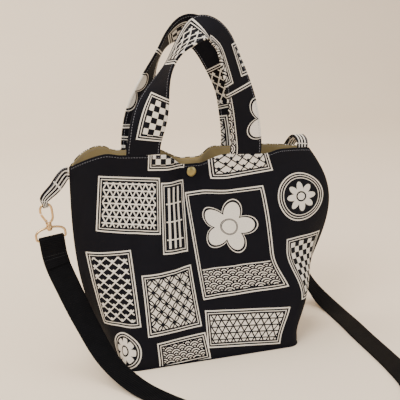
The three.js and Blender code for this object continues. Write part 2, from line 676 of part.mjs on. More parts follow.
// The webbing: folded round the bar of each ring, down to the floor and round in front of the bag.
function makeStrap() {
  const level = new THREE.Vector3(0, 1, 0);
  const barDrop = new THREE.Vector3(0, 0, -ringHeight);
  const leftBar = barDrop.clone().applyAxisAngle(level, leftSwivelTilt).add(leftSwivel);
  const rightBar = barDrop.clone().add(rightSwivel);
  const onFloor = strapThickness / 2 + 0.5;
  const route = [
    leftBar,
    new THREE.Vector3(-178.4, -6, 130),
    new THREE.Vector3(-167, -20, 97),
    new THREE.Vector3(-151.5, -43, 58),
    new THREE.Vector3(-134.5, -74.5, 24),
    new THREE.Vector3(-113.5, -111, 6.5),
    new THREE.Vector3(-90.5, -148.5, onFloor),
    new THREE.Vector3(-62, -190.5, onFloor),
    new THREE.Vector3(-25.5, -232, onFloor),
    new THREE.Vector3(19, -264.5, onFloor),
    new THREE.Vector3(69.5, -284, onFloor),
    new THREE.Vector3(120, -282, onFloor),
    new THREE.Vector3(164, -258, onFloor),
    new THREE.Vector3(188, -218, onFloor),
    new THREE.Vector3(198, -172, onFloor),
    new THREE.Vector3(204, -124, onFloor),
    new THREE.Vector3(209, -76, onFloor),
    new THREE.Vector3(215, -28, onFloor),
    new THREE.Vector3(219, 18, onFloor + 0.6),
    new THREE.Vector3(214, 54, 12),
    new THREE.Vector3(199, 74, 38),
    new THREE.Vector3(182, 79, 76),
    new THREE.Vector3(170, 75.5, 102),
    new THREE.Vector3(157.5, 68.5, 124),
    new THREE.Vector3(150, 62.8, 148),
    rightBar,
  ];
  const curve = new THREE.CatmullRomCurve3(route, false, 'centripetal');
  const length = curve.getLength();
  const steps = 64;
  const up = new THREE.Vector3(0, 0, 1);
  const leftAcross = new THREE.Vector3(1, 0, 0).applyAxisAngle(level, leftSwivelTilt);
  const rightAcross = new THREE.Vector3(-1, 0, 0);
  const airLength = 190;
  const barOffset = ringWireRadius + fitGap + strapThickness / 2;
  const plyOffset = (strapThickness + strapPlyGap) / 2;
  const stationAt = (run) => {
    const t = clamp(run / length, 0, 1);
    const along = curve.getTangentAt(t);
    const flat = new THREE.Vector3().crossVectors(up, along);
    const fromEnd = Math.min(run, length - run);
    const landed = smooth(fromEnd / airLength);
    const ringAcross = run < length / 2 ? leftAcross : rightAcross;
    const across = ringAcross.clone().lerp(flat, landed);
    across.addScaledVector(along, -across.dot(along)).normalize();
    const out = new THREE.Vector3().crossVectors(along, across).normalize();
    const bunched = lerp(barOffset, plyOffset, smooth(fromEnd / (0.6 * strapFoldLength)));
    const offset = bunched * (1 - smooth((fromEnd - strapFoldLength) / strapFoldLength));
    return { point: curve.getPointAt(t), along, across, out, offset };
  };
  const rings = [];
  const addRing = (centre, across, out) => {
    const edge = strapWidth / 2;
    const cut = edge - strapThickness / 3;
    const half = strapThickness / 2;
    const corners = [[edge, 0], [cut, half], [-cut, half], [-edge, 0], [-cut, -half], [cut, -half]];
    rings.push(corners.map(([w, h]) => centre.clone()
      .addScaledVector(across, w)
      .addScaledVector(out, h)));
  };
  const foldSteps = 6;
  const plySteps = 3;
  // The short back ply runs up to the bar, round it, and on as the strap itself.
  const fold = (run, direction) => {
    const bar = stationAt(run);
    const away = bar.along.clone().multiplyScalar(-direction);
    for (let i = 1; i < foldSteps; i += 1) {
      const angle = (Math.PI * i) / foldSteps;
      const radial = bar.out.clone().multiplyScalar(direction * Math.cos(angle));
      radial.addScaledVector(away, Math.sin(angle));
      addRing(bar.point.clone().addScaledVector(radial, barOffset), bar.across, radial);
    }
  };
  for (let i = plySteps; i >= 0; i -= 1) {
    const s = stationAt((strapFoldLength * i) / plySteps);
    addRing(s.point.clone().addScaledVector(s.out, s.offset), s.across, s.out);
  }
  fold(0, 1);
  for (let i = 0; i <= steps; i += 1) {
    const s = stationAt((length * i) / steps);
    addRing(s.point.clone().addScaledVector(s.out, -s.offset), s.across, s.out.clone().negate());
  }
  fold(length, -1);
  for (let i = 0; i <= plySteps; i += 1) {
    const s = stationAt(length - (strapFoldLength * i) / plySteps);
    addRing(s.point.clone().addScaledVector(s.out, s.offset), s.across, s.out);
  }
  addMesh('shoulder_strap', sweptGeometry(rings), webbing);
}

makeBody();
makeHandle('front_handle', -1, 0, frontMouthTilt, frontArch, frontTwist);
makeHandle('back_handle', 1, backHandleShift, backMouthTilt, backArch, backTwist);
makeSnap();
makeTabs();
makeHardware('left', leftSwivel, leftSwivelTilt);
makeHardware('right', rightSwivel, 0);
makeStrap();

// The origin is under the middle of the bag itself, without its strap and hardware.
const strapPieces = /^shoulder_strap$|hook|gate|ring$/;
const body = new THREE.Box3();
bag.updateMatrixWorld(true);
bag.traverse((piece) => {
  if (piece.isMesh && !strapPieces.test(piece.name)) body.expandByObject(piece, true);
});
const middle = body.getCenter(new THREE.Vector3());
bag.position.set(-middle.x, -middle.y, 0);

export default bag;
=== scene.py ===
import bpy
import json
from bisect import bisect_right
from math import cos, exp, hypot, pi, radians, sin, sqrt, tan
from mathutils import Matrix, Vector, noise
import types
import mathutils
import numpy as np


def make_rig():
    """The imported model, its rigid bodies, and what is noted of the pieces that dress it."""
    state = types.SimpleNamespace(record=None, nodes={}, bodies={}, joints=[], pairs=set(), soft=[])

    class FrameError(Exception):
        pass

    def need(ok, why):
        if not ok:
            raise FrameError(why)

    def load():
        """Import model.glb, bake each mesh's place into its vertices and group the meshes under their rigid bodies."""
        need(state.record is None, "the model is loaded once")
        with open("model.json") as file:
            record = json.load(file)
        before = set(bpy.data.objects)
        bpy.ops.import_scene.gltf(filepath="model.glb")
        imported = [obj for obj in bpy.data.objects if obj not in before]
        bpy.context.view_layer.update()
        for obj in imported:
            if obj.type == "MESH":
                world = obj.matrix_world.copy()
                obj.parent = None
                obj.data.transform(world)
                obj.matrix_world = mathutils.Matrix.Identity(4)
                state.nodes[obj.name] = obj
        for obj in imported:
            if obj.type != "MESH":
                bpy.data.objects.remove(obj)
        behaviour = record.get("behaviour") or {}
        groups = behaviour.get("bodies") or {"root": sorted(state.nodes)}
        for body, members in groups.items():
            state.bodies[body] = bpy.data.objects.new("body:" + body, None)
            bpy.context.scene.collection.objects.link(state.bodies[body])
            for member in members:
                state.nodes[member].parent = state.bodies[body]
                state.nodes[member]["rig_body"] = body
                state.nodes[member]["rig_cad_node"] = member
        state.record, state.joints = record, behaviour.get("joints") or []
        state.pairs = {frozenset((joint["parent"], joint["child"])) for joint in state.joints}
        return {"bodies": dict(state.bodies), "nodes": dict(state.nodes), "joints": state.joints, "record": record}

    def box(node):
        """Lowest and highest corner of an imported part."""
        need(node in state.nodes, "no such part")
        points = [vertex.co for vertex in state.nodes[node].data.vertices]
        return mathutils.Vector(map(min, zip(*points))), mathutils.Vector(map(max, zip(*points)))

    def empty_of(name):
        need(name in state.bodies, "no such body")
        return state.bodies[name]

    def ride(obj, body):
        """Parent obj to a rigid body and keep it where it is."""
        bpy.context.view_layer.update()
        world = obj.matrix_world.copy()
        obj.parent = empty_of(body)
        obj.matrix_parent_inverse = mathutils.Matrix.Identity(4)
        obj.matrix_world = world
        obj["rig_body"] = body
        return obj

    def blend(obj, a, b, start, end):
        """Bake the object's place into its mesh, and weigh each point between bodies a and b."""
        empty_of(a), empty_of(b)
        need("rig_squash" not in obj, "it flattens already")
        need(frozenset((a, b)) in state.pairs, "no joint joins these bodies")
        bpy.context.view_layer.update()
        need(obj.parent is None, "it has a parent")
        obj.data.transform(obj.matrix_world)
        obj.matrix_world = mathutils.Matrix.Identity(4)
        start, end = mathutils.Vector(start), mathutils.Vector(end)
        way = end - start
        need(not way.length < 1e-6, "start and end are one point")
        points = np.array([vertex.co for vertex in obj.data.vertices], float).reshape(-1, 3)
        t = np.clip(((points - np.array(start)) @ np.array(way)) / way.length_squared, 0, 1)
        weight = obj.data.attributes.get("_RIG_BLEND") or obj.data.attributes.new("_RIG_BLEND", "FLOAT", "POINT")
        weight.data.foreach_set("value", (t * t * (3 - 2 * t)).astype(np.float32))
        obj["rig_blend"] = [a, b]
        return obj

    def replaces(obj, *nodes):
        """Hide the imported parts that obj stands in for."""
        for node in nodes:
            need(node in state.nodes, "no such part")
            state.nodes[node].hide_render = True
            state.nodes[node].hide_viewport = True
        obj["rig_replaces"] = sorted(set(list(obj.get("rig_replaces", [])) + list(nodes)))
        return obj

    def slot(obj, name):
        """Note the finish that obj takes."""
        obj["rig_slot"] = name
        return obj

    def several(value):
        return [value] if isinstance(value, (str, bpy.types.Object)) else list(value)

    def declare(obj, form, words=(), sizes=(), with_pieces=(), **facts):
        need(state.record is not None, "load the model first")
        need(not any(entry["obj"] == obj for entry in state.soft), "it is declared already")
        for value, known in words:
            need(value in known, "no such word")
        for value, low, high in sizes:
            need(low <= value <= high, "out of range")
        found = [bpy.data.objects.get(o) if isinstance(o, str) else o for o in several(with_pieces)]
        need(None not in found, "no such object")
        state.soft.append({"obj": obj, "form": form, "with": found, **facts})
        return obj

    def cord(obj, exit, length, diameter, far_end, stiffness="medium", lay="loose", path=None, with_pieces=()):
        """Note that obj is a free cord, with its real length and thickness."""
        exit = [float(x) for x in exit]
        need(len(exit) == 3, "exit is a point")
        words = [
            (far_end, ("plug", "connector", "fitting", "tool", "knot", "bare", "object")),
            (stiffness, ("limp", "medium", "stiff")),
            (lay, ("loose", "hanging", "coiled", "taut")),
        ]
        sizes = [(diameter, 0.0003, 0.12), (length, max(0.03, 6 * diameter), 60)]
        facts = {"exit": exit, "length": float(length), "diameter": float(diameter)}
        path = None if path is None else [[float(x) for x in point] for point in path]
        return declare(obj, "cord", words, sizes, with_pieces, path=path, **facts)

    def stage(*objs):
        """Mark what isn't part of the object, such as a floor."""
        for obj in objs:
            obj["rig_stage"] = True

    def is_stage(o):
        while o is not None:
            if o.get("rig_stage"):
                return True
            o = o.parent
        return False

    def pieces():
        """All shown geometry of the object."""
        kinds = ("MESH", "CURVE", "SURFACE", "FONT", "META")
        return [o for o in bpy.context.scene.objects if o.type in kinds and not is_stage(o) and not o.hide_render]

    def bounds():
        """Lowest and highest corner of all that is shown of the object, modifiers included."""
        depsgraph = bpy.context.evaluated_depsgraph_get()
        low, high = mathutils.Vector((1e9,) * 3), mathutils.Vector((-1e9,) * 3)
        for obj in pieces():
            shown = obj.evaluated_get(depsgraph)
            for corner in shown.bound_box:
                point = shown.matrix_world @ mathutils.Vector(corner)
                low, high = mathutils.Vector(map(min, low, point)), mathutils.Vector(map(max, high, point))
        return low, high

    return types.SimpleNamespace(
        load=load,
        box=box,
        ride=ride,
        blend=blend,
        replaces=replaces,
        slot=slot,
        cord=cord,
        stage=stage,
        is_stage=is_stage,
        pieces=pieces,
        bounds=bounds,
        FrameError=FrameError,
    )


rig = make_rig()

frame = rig.load()
cadBox = [list(corner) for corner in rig.bounds()]
scene = bpy.context.scene
print("frame loaded:", len(frame["nodes"]), "nodes")

# sizes here are millimetres, as on a cutting plan; meshes are made in metres
mm = 0.001

bag = dict(
    baseWidth=234, baseDepth=138, cornerRadius=17, baseShift=5,
    mouthHeight=254, snapDip=18, mouthShift=-6.5, frontTilt=3, backTilt=1.3,
    earLeft=155, earRight=157, earHeightLeft=241.5, earHeightRight=245, earRise=4, earRiseLength=24,
    bulgeRight=34, hipRight=22, mouthHalfGap=20,
    cloth=1.4, lining=0.9, layerGap=0.3, liningDrop=0.9, footTuck=2, tuckHeight=7,
    seamHalfGap=0.4, seamRoll=1.2, seamMeet=0.05,
    backRiseSnap=7, backRiseLeft=4, backRiseLength=12, backRiseFrom=0.92,
    handleSpacing=132, handleWidth=42, legMargin=4,
    snapCap=12.4, snapBelowRim=10, snapHalfGap=2.6, pinchMargin=4, pinchDrop=3,
)
baseLow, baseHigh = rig.box("base_panel")
shiftX = (baseLow.x + baseHigh.x) / 2 / mm - bag["baseShift"]  # the frame's origin, seen from the plan

wallThickness = bag["lining"] + bag["layerGap"] + bag["cloth"]
wallFoot = bag["cloth"] + bag["layerGap"]
legHalf = bag["handleSpacing"] / 2
legInner = legHalf - bag["handleWidth"] / 2 - bag["legMargin"]
legOuter = legHalf + bag["handleWidth"] / 2 + bag["legMargin"]
pinchHalf = bag["snapCap"] / 2 + bag["pinchMargin"]
rimAtSnap = bag["mouthHeight"] - bag["snapDip"]
snapHeight = rimAtSnap - bag["snapBelowRim"]
pinchStart = (snapHeight - bag["snapCap"] / 2 - bag["pinchDrop"] - wallFoot) / (rimAtSnap - wallFoot)


def clamp(t, low=0.0, high=1.0):
    return max(low, min(high, t))


def smooth(t):
    t = clamp(t)
    return t * t * (3 - 2 * t)


def mix(a, b, t):
    return a + (b - a) * t


def plan(x, y, z):
    return Vector(((x + shiftX) * mm, y * mm, z * mm))


def addObject(name, data):
    thing = bpy.data.objects.new(name, data)
    scene.collection.objects.link(thing)
    return thing


# camera: the photograph's place, a little left of the front and above it
view = dict(yaw=20, pitch=14, distance=1012, target=(7, 0, 187), lens=72, sensor=36)


def placeCamera():
    yaw = radians(view["yaw"])
    pitch = radians(view["pitch"])
    forward = Vector((
        sin(yaw) * cos(pitch), cos(yaw) * cos(pitch), -sin(pitch)))
    data = bpy.data.cameras.new("photoCamera")
    data.lens = view["lens"]
    data.sensor_width = view["sensor"]
    data.sensor_fit = "HORIZONTAL"
    data.clip_start = 0.01
    data.clip_end = 60
    camera = addObject("photoCamera", data)
    camera.location = plan(*view["target"]) - forward * (view["distance"] * mm)
    camera.rotation_euler = forward.to_track_quat("-Z", "Y").to_euler()
    scene.camera = camera


placeCamera()
print("camera placed")


# node helpers
def addNode(tree, kind, **settings):
    node = tree.nodes.new(kind)
    for key, value in settings.items():
        setattr(node, key, value)
    return node


def feed(socket, value):
    if isinstance(value, Term):
        value = value.socket
    if isinstance(value, bpy.types.NodeSocket):
        socket.id_data.links.new(value, socket)
    else:
        socket.default_value = value


def setInputs(node, values):
    for name, value in values.items():
        feed(node.inputs[name], value)


def solve(tree, operation, *values):
    node = addNode(tree, "ShaderNodeMath", operation=operation)
    setInputs(node, dict(enumerate(values)))
    return Term(node.outputs[0])


class Term:
    # a shader value that takes plain arithmetic; a bar between two gives the greater
    def __init__(self, socket):
        self.socket = socket
        self.tree = socket.id_data

    def calc(self, operation, *others):
        return solve(self.tree, operation, self, *others)

    def __add__(self, other):
        return self.calc("ADD", other)

    def __sub__(self, other):
        return self.calc("SUBTRACT", other)

    def __rsub__(self, other):
        return solve(self.tree, "SUBTRACT", other, self)

    def __mul__(self, other):
        return self.calc("MULTIPLY", other)

    def __truediv__(self, other):
        return self.calc("DIVIDE", other)

    def __lt__(self, other):
        return self.calc("LESS_THAN", other)

    def __or__(self, other):
        return self.calc("MAXIMUM", other)

    def scaled(self, share, start):
        return self.calc("MULTIPLY_ADD", share, start)

    def near(self, value, margin):
        return self.calc("COMPARE", value, margin)

    def wrap(self, pitch):
        return self.calc("WRAP", pitch / 2, -pitch / 2)

    def grain(self, scale, detail):
        node = addNode(self.tree, "ShaderNodeTexNoise")
        setInputs(node, {"Vector": self, "Scale": scale, "Detail": detail, "Roughness": 0.55})
        return Term(node.outputs[0])

    def blend(self, a, b):
        node = addNode(self.tree, "ShaderNodeMix", data_type="RGBA")
        setInputs(node, {0: self, 6: a, 7: b})
        return Term(node.outputs[2])


def newMaterial(name):
    material = bpy.data.materials.new(name)
    material.use_nodes = True
    return material, material.node_tree.nodes["Principled BSDF"]


def addBump(shader, height, strength, distance):
    bump = addNode(shader.id_data, "ShaderNodeBump")
    setInputs(bump, {"Strength": strength, "Distance": distance, "Height": height})
    feed(shader.inputs["Normal"], bump.outputs["Normal"])


def weaveHeight(u, v, pitch):
    turns = 2 * pi / (pitch * mm)
    return (u * turns).calc("SINE") * (v * turns).calc("SINE")


def splitParts(vector):
    parts = addNode(vector.id_data, "ShaderNodeSeparateXYZ")
    feed(parts.inputs[0], vector)
    return Term(parts.outputs[0]), Term(parts.outputs[1])


def clothPlace(shader):
    uv = addNode(shader.id_data, "ShaderNodeUVMap", uv_map="cloth").outputs[0]
    u, v = splitParts(uv)
    return Term(uv), u, v


def objectPlace(shader):
    return Term(addNode(shader.id_data, "ShaderNodeTexCoord").outputs["Object"])


# printed canvas: framed panels of plain traditional patterns, pale ink on a near-black ground
printPlan = dict(
    tile=(360, 270), ink=(0.80, 0.75, 0.67, 1), ground=(0.0022, 0.0022, 0.0042, 1),
    groundWorn=(0.0048, 0.0048, 0.008, 1), wallRun=345,
    backCut=(128, 104),  # the back is cut from another place of the cloth
    # lines of a frame: distance inside its edge, and half width
    outerLine=(0.8, 0.8), innerLine=(4.0, 0.5), roundLine=(7.2, 0.5), roundLineFrom=50, margin=6.5,
    # patterns by their slant in degrees
    patterns=dict(scales=4, triangles=-5, rings=3, checks=-3, lattice=5, stripes=-4, petals=0, blossom=3),
    # pattern, middle across and up, width, height, pale ground inside
    labels=(
        ("blossom", 40, 140, 98, 128, False),
        ("triangles", -100, 196, 86, 66, False),
        ("stripes", -36, 176, 40, 84, False),
        ("lattice", -128, 96, 58, 92, False),
        ("rings", -52, 78, 74, 74, True),
        ("petals", 132, 186, 62, 62, False),
        ("checks", 134, 96, 56, 78, False),
        ("triangles", 40, 34, 96, 46, True),
        ("petals", -118, 22, 44, 44, False),
        ("scales", -42, 16, 66, 34, False),
        ("lattice", 62, 242, 78, 44, True),
        ("rings", 150, 24, 44, 44, False),
        ("checks", -40, 250, 60, 34, False),
    ),
)


def reachOf(x, y):
    return (x * x + y * y).calc("SQRT")


def lineSet(x, y, degrees, pitch, width):
    angle = radians(degrees)
    turned = x * cos(angle) + y * sin(angle)
    return (turned / (pitch * mm)).calc("FRACT") < width


def patternScales(x, y):
    pitch, radius, rise = 17 * mm, 8.5 * mm, 4.25 * mm
    row = y / rise
    part = row.calc("FRACT")
    odd = row.calc("FLOOR").calc("FLOORED_MODULO", 2.0)
    distances = []
    for step, slide in ((0.0, odd), (1.0, 1.0 - odd)):
        across = (x - slide * (pitch / 2)).wrap(pitch)
        distances.append(reachOf(across, (part + step) * rise))
    near = distances[1] < radius
    depth = distances[1] * near + distances[0] * (1.0 - near)
    return (depth / (radius / 3)).calc("FRACT") < 0.42


def patternTriangles(x, y):
    return lineSet(x, y, 30, 7.8, 0.2) | lineSet(x, y, 90, 7.8, 0.2) | lineSet(x, y, 150, 7.8, 0.2)


def patternLattice(x, y):
    broad, fine = ([lineSet(x, y, degrees, 9.5, width) for degrees in (52, 128)] for width in (0.16, 0.42))
    return broad[0] | broad[1] | fine[0] * fine[1]


def patternRings(x, y):
    pitch = 16 * mm
    reaches = [reachOf((x + slide).wrap(pitch), (y + slide).wrap(pitch)) for slide in (0, pitch / 2)]
    rings = [reach.near(pitch * 0.47, 0.85 * mm) for reach in reaches]
    return rings[0] | rings[1]


def patternChecks(x, y):
    cells = [(part / (7.2 * mm)).calc("FLOOR") for part in (x, y)]
    return (cells[0] + cells[1]).calc("FLOORED_MODULO", 2.0)


def patternStripes(x, y):
    return lineSet(x, y, 0, 8.4, 0.4) | lineSet(x, y, 90, 21, 0.07)


def patternPetals(x, y, count=8, inner=10, outer=19):
    angle = y.calc("ARCTAN2", x)
    reach = reachOf(x, y)
    wave = (angle * (count / 2)).calc("COSINE").calc("ABSOLUTE")
    petal = reach < wave.scaled((outer - inner) * mm, inner * mm)
    return petal - reach.near(0.3 * outer * mm, 1 * mm)


def patternBlossom(x, y, wide, high, scales):
    # one large flower with a fine outline, above a band of scales
    raised = y - 0.15 * high * mm
    size = 0.31 * wide
    flower, outside, inside = (
        patternPetals(x, raised, 5, 0.5 * size + wider, size + wider) for wider in (0, 4, 2.8))
    band = (y < -0.24 * high * mm) * scales
    line = y.near(-0.225 * high * mm, 0.6 * mm)
    return band | line | flower | (outside - inside | 0.0)


def printInk(u, v):
    makers = dict(
        scales=patternScales, triangles=patternTriangles, rings=patternRings, checks=patternChecks,
        lattice=patternLattice, stripes=patternStripes)
    width, height = printPlan["tile"]
    tiled = addNode(u.tree, "ShaderNodeCombineXYZ")
    setInputs(tiled, {"X": u.wrap(width * mm), "Y": v.calc("WRAP", height * mm, 0.0)})

    def localParts(pattern, across=0, up=0):
        turn = addNode(u.tree, "ShaderNodeMapping", vector_type="TEXTURE")
        slant = radians(printPlan["patterns"][pattern])
        setInputs(turn, {
            "Vector": tiled.outputs[0], "Location": (across * mm, up * mm, 0), "Rotation": (0, 0, slant)})
        return splitParts(turn.outputs[0])

    def frameLine(edge, name):
        inside, halfWidth = printPlan[name]
        return edge.near(-inside * mm, halfWidth * mm)

    fields = {}
    ink = None
    for pattern, across, up, wide, high, pale in printPlan["labels"]:
        x, y = localParts(pattern, across, up)
        if pattern == "petals":
            edge = reachOf(x, y) - wide / 2 * mm
            field = patternPetals(x, y)
            if wide > printPlan["roundLineFrom"]:
                field = field | frameLine(edge, "roundLine")
        else:
            edge = x.calc("ABSOLUTE") - wide / 2 * mm | y.calc("ABSOLUTE") - high / 2 * mm
            shared = "scales" if pattern == "blossom" else pattern
            if shared not in fields:
                fields[shared] = makers[shared](*localParts(shared))
            field = fields[shared]
            if pattern == "blossom":
                field = patternBlossom(x, y, wide, high, field)
        drawn = (edge < -printPlan["margin"] * mm) * (1.0 - field if pale else field)
        label = frameLine(edge, "outerLine") | frameLine(edge, "innerLine") | drawn
        ink = label if ink is None else ink | label
    return ink


def makeCanvas(name, printed):
    material, shader = newMaterial(name)
    uv, u, v = clothPlace(shader)
    blotch = uv.grain(55, 4)
    colour = blotch.blend(printPlan["ground"], printPlan["groundWorn"])
    if printed:
        wear = uv.grain(900, 2).scaled(0.5, 0.62).calc("MINIMUM", 1.0)
        colour = (printInk(u, v) * wear).blend(colour, printPlan["ink"])
    setInputs(shader, {
        "Base Color": colour, "Roughness": blotch.scaled(0.12, 0.74), "Specular IOR Level": 0.12})
    addBump(shader, weaveHeight(u, v, 1.1).scaled(0.25, uv.grain(160, 3)), 0.35, 0.0006)
    return material


def makeLining(name, light, dark):
    material, shader = newMaterial(name)
    uv, u, v = clothPlace(shader)
    patch = uv.grain(42, 4)
    thread = weaveHeight(u, v, 0.9)
    setInputs(shader, {
        "Base Color": thread.scaled(0.18, patch).blend(dark, light), "Roughness": patch.scaled(0.1, 0.8),
        "Sheen Weight": 0.1, "Specular IOR Level": 0.25})
    addBump(shader, thread, 0.4, 0.0003)
    return material


def makeWebbing(name, light, dark):
    material, shader = newMaterial(name)
    uv, u, v = clothPlace(shader)
    rib = (u * (2 * pi / (2.4 * mm))).calc("SINE")
    edge = v.calc("ABSOLUTE").calc("GREATER_THAN", 12.6 * mm)
    chevron = (v * (2 * pi / (1.5 * mm))).calc("SINE")
    height = rib * chevron.scaled(0.3, 0.7)
    raised = edge * 0.35 | height.scaled(0.3, uv.grain(70, 3))
    setInputs(shader, {
        "Base Color": raised.blend(dark, light), "Roughness": height.scaled(-0.08, 0.62),
        "Specular IOR Level": 0.05})
    addBump(shader, height, 0.5, 0.0005)
    return material


def makeMetal(name, colour, stain, roughness, rubbed):
    material, shader = newMaterial(name)
    place = objectPlace(shader)
    scratch = place.grain(2600, 2)
    setInputs(shader, {
        "Base Color": place.grain(260, 4).blend(stain, colour), "Roughness": scratch.scaled(rubbed, roughness),
        "Metallic": 1.0})
    addBump(shader, scratch, 0.08, 0.0001)
    return material


def makeThread(name, dark, light):
    material, shader = newMaterial(name)
    twist = objectPlace(shader).grain(1800, 2)
    setInputs(shader, {"Base Color": twist.blend(dark, light), "Roughness": twist.scaled(0.2, 0.5)})
    addBump(shader, twist, 0.3, 0.0002)
    return material


printedCanvas = makeCanvas("printedCanvas", True)
plainCanvas = makeCanvas("plainCanvas", False)
mustardLining = makeLining("mustardLining", (0.40, 0.31, 0.145, 1), (0.25, 0.185, 0.078, 1))
ribbedWebbing = makeWebbing("ribbedWebbing", (0.0048, 0.0048, 0.006, 1), (0.0014, 0.0014, 0.0018, 1))
paleGold = makeMetal("paleGold", (0.74, 0.52, 0.28, 1), (0.52, 0.34, 0.17, 1), 0.16, 0.18)
snapBrass = makeMetal("snapBrass", (0.42, 0.35, 0.15, 1), (0.26, 0.21, 0.085, 1), 0.2, 0.2)
springSteel = makeMetal("springSteel", (0.62, 0.61, 0.59, 1), (0.42, 0.41, 0.4, 1), 0.28, 0.2)
paleThread = makeThread("paleThread", (0.14, 0.14, 0.17, 1), (0.34, 0.34, 0.38, 1))
blackThread = makeThread("blackThread", (0.004, 0.004, 0.005, 1), (0.012, 0.012, 0.014, 1))
print("materials made")


# mesh helpers
def makePiece(name, points, faces, material, uvs=None):
    mesh = bpy.data.meshes.new(name)
    mesh.from_pydata([tuple(p) for p in points], [], faces)
    mesh.validate()
    if uvs is not None:
        layer = mesh.uv_layers.new(name="cloth")
        for loop in mesh.loops:
            layer.data[loop.index].uv = uvs[loop.vertex_index]
    mesh.materials.append(material)
    mesh.shade_smooth()
    mesh.set_sharp_from_angle(angle=radians(50))  # cut ends keep a crisp edge
    return addObject(name, mesh)


def standIn(piece, node, slot, body=None):
    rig.replaces(piece, node)
    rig.slot(piece, slot)
    if body is not None:
        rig.ride(piece, body)


def turnOutwards(points, faces):
    volume = 0.0
    for face in faces:
        for i in range(1, len(face) - 1):
            a, b, c = points[face[0]], points[face[i]], points[face[i + 1]]
            volume += a.dot(b.cross(c))
    return [tuple(reversed(face)) for face in faces] if volume < 0 else faces


def sweptFaces(ringCount, sides, closedPath=False):
    faces = []
    for i in range(ringCount if closedPath else ringCount - 1):
        here, after = i * sides, ((i + 1) % ringCount) * sides
        for j in range(sides):
            k = (j + 1) % sides
            faces.append((here + j, here + k, after + k, after + j))
    if not closedPath:
        faces.append(tuple(reversed(range(sides))))
        faces.append(tuple((ringCount - 1) * sides + j for j in range(sides)))
    return faces


def makeSwept(name, points, sides, material, uvs):
    faces = turnOutwards(points, sweptFaces(len(points) // sides, sides))
    return makePiece(name, points, faces, material, uvs)


def splinePoint(points, t):
    last = len(points) - 1
    place = last * t
    i = min(int(place), last - 1)
    w = place - i
    p1, p2 = points[i], points[i + 1]
    p0 = points[i - 1] if i > 0 else p1 * 2 - p2
    p3 = points[i + 2] if i + 2 <= last else p2 * 2 - p1
    d1 = max((p2 - p1).length_squared ** 0.25, 1e-6)
    d0 = (p1 - p0).length_squared ** 0.25 or d1
    d2 = (p3 - p2).length_squared ** 0.25 or d1
    t1 = ((p1 - p0) / d0 - (p2 - p0) / (d0 + d1) + (p2 - p1) / d1) * d1
    t2 = ((p2 - p1) / d1 - (p3 - p1) / (d1 + d2) + (p3 - p2) / d2) * d1
    return p1 + t1 * w + (p1 * -3 + p2 * 3 - t1 * 2 - t2) * w ** 2 + (p1 * 2 - p2 * 2 + t1 + t2) * w ** 3


class Route:
    # a smooth path through points, read by its length
    def __init__(self, points, fineness=600):
        self.dense = [splinePoint(points, i / fineness) for i in range(fineness + 1)]
        self.runs = [0.0]
        for a, b in zip(self.dense, self.dense[1:]):
            self.runs.append(self.runs[-1] + (b - a).length)
        self.length = self.runs[-1]

    def at(self, run):
        run = clamp(run, 0, self.length)
        high = min(bisect_right(self.runs, run), len(self.runs) - 1)
        low = high - 1
        span = self.runs[high] - self.runs[low] or 1
        return self.dense[low].lerp(self.dense[high], (run - self.runs[low]) / span)

    def along(self, run, step=0.4):
        return (self.at(run + step) - self.at(run - step)).normalized()


# shoulder strap: flat webbing from ring to ring, down to the floor and round in front
strap = dict(
    width=30, thickness=2, bevel=1.1, lip=0.35, foldLength=34, plyGap=0.35, ringWire=1.4, ringHeight=14,
    fitGap=0.3, airLength=190, onFloor=1.5, steps=260, foldSteps=12, pathSteps=160)
leftSwivel = Vector((-184, -1, 170))
leftTilt = radians(-8)
rightSwivel = Vector((150, 62, 178))
leftTurn = Matrix.Rotation(leftTilt, 3, "Y")
leftBar = leftTurn @ Vector((0, 0, -strap["ringHeight"])) + leftSwivel
rightBar = rightSwivel + Vector((0, 0, -strap["ringHeight"]))
floorZ = strap["onFloor"]
strapPoints = [leftBar] + [Vector(place) for place in (
    (-178.4, -6, 130), (-167, -20, 97), (-151.5, -43, 58), (-134.5, -74.5, 24), (-113.5, -111, 6.5),
    (-90.5, -148.5, floorZ), (-62, -190.5, floorZ), (-25.5, -232, floorZ), (19, -264.5, floorZ),
    (69.5, -284, floorZ), (120, -282, floorZ), (164, -258, floorZ), (188, -218, floorZ), (198, -172, floorZ),
    (204, -124, floorZ), (209, -76, floorZ), (215, -28, floorZ), (219, 18, floorZ + 0.6), (214, 54, 12),
    (199, 74, 38), (182, 79, 76), (170, 75.5, 102), (157.5, 68.5, 124), (150, 62.8, 148))] + [rightBar]


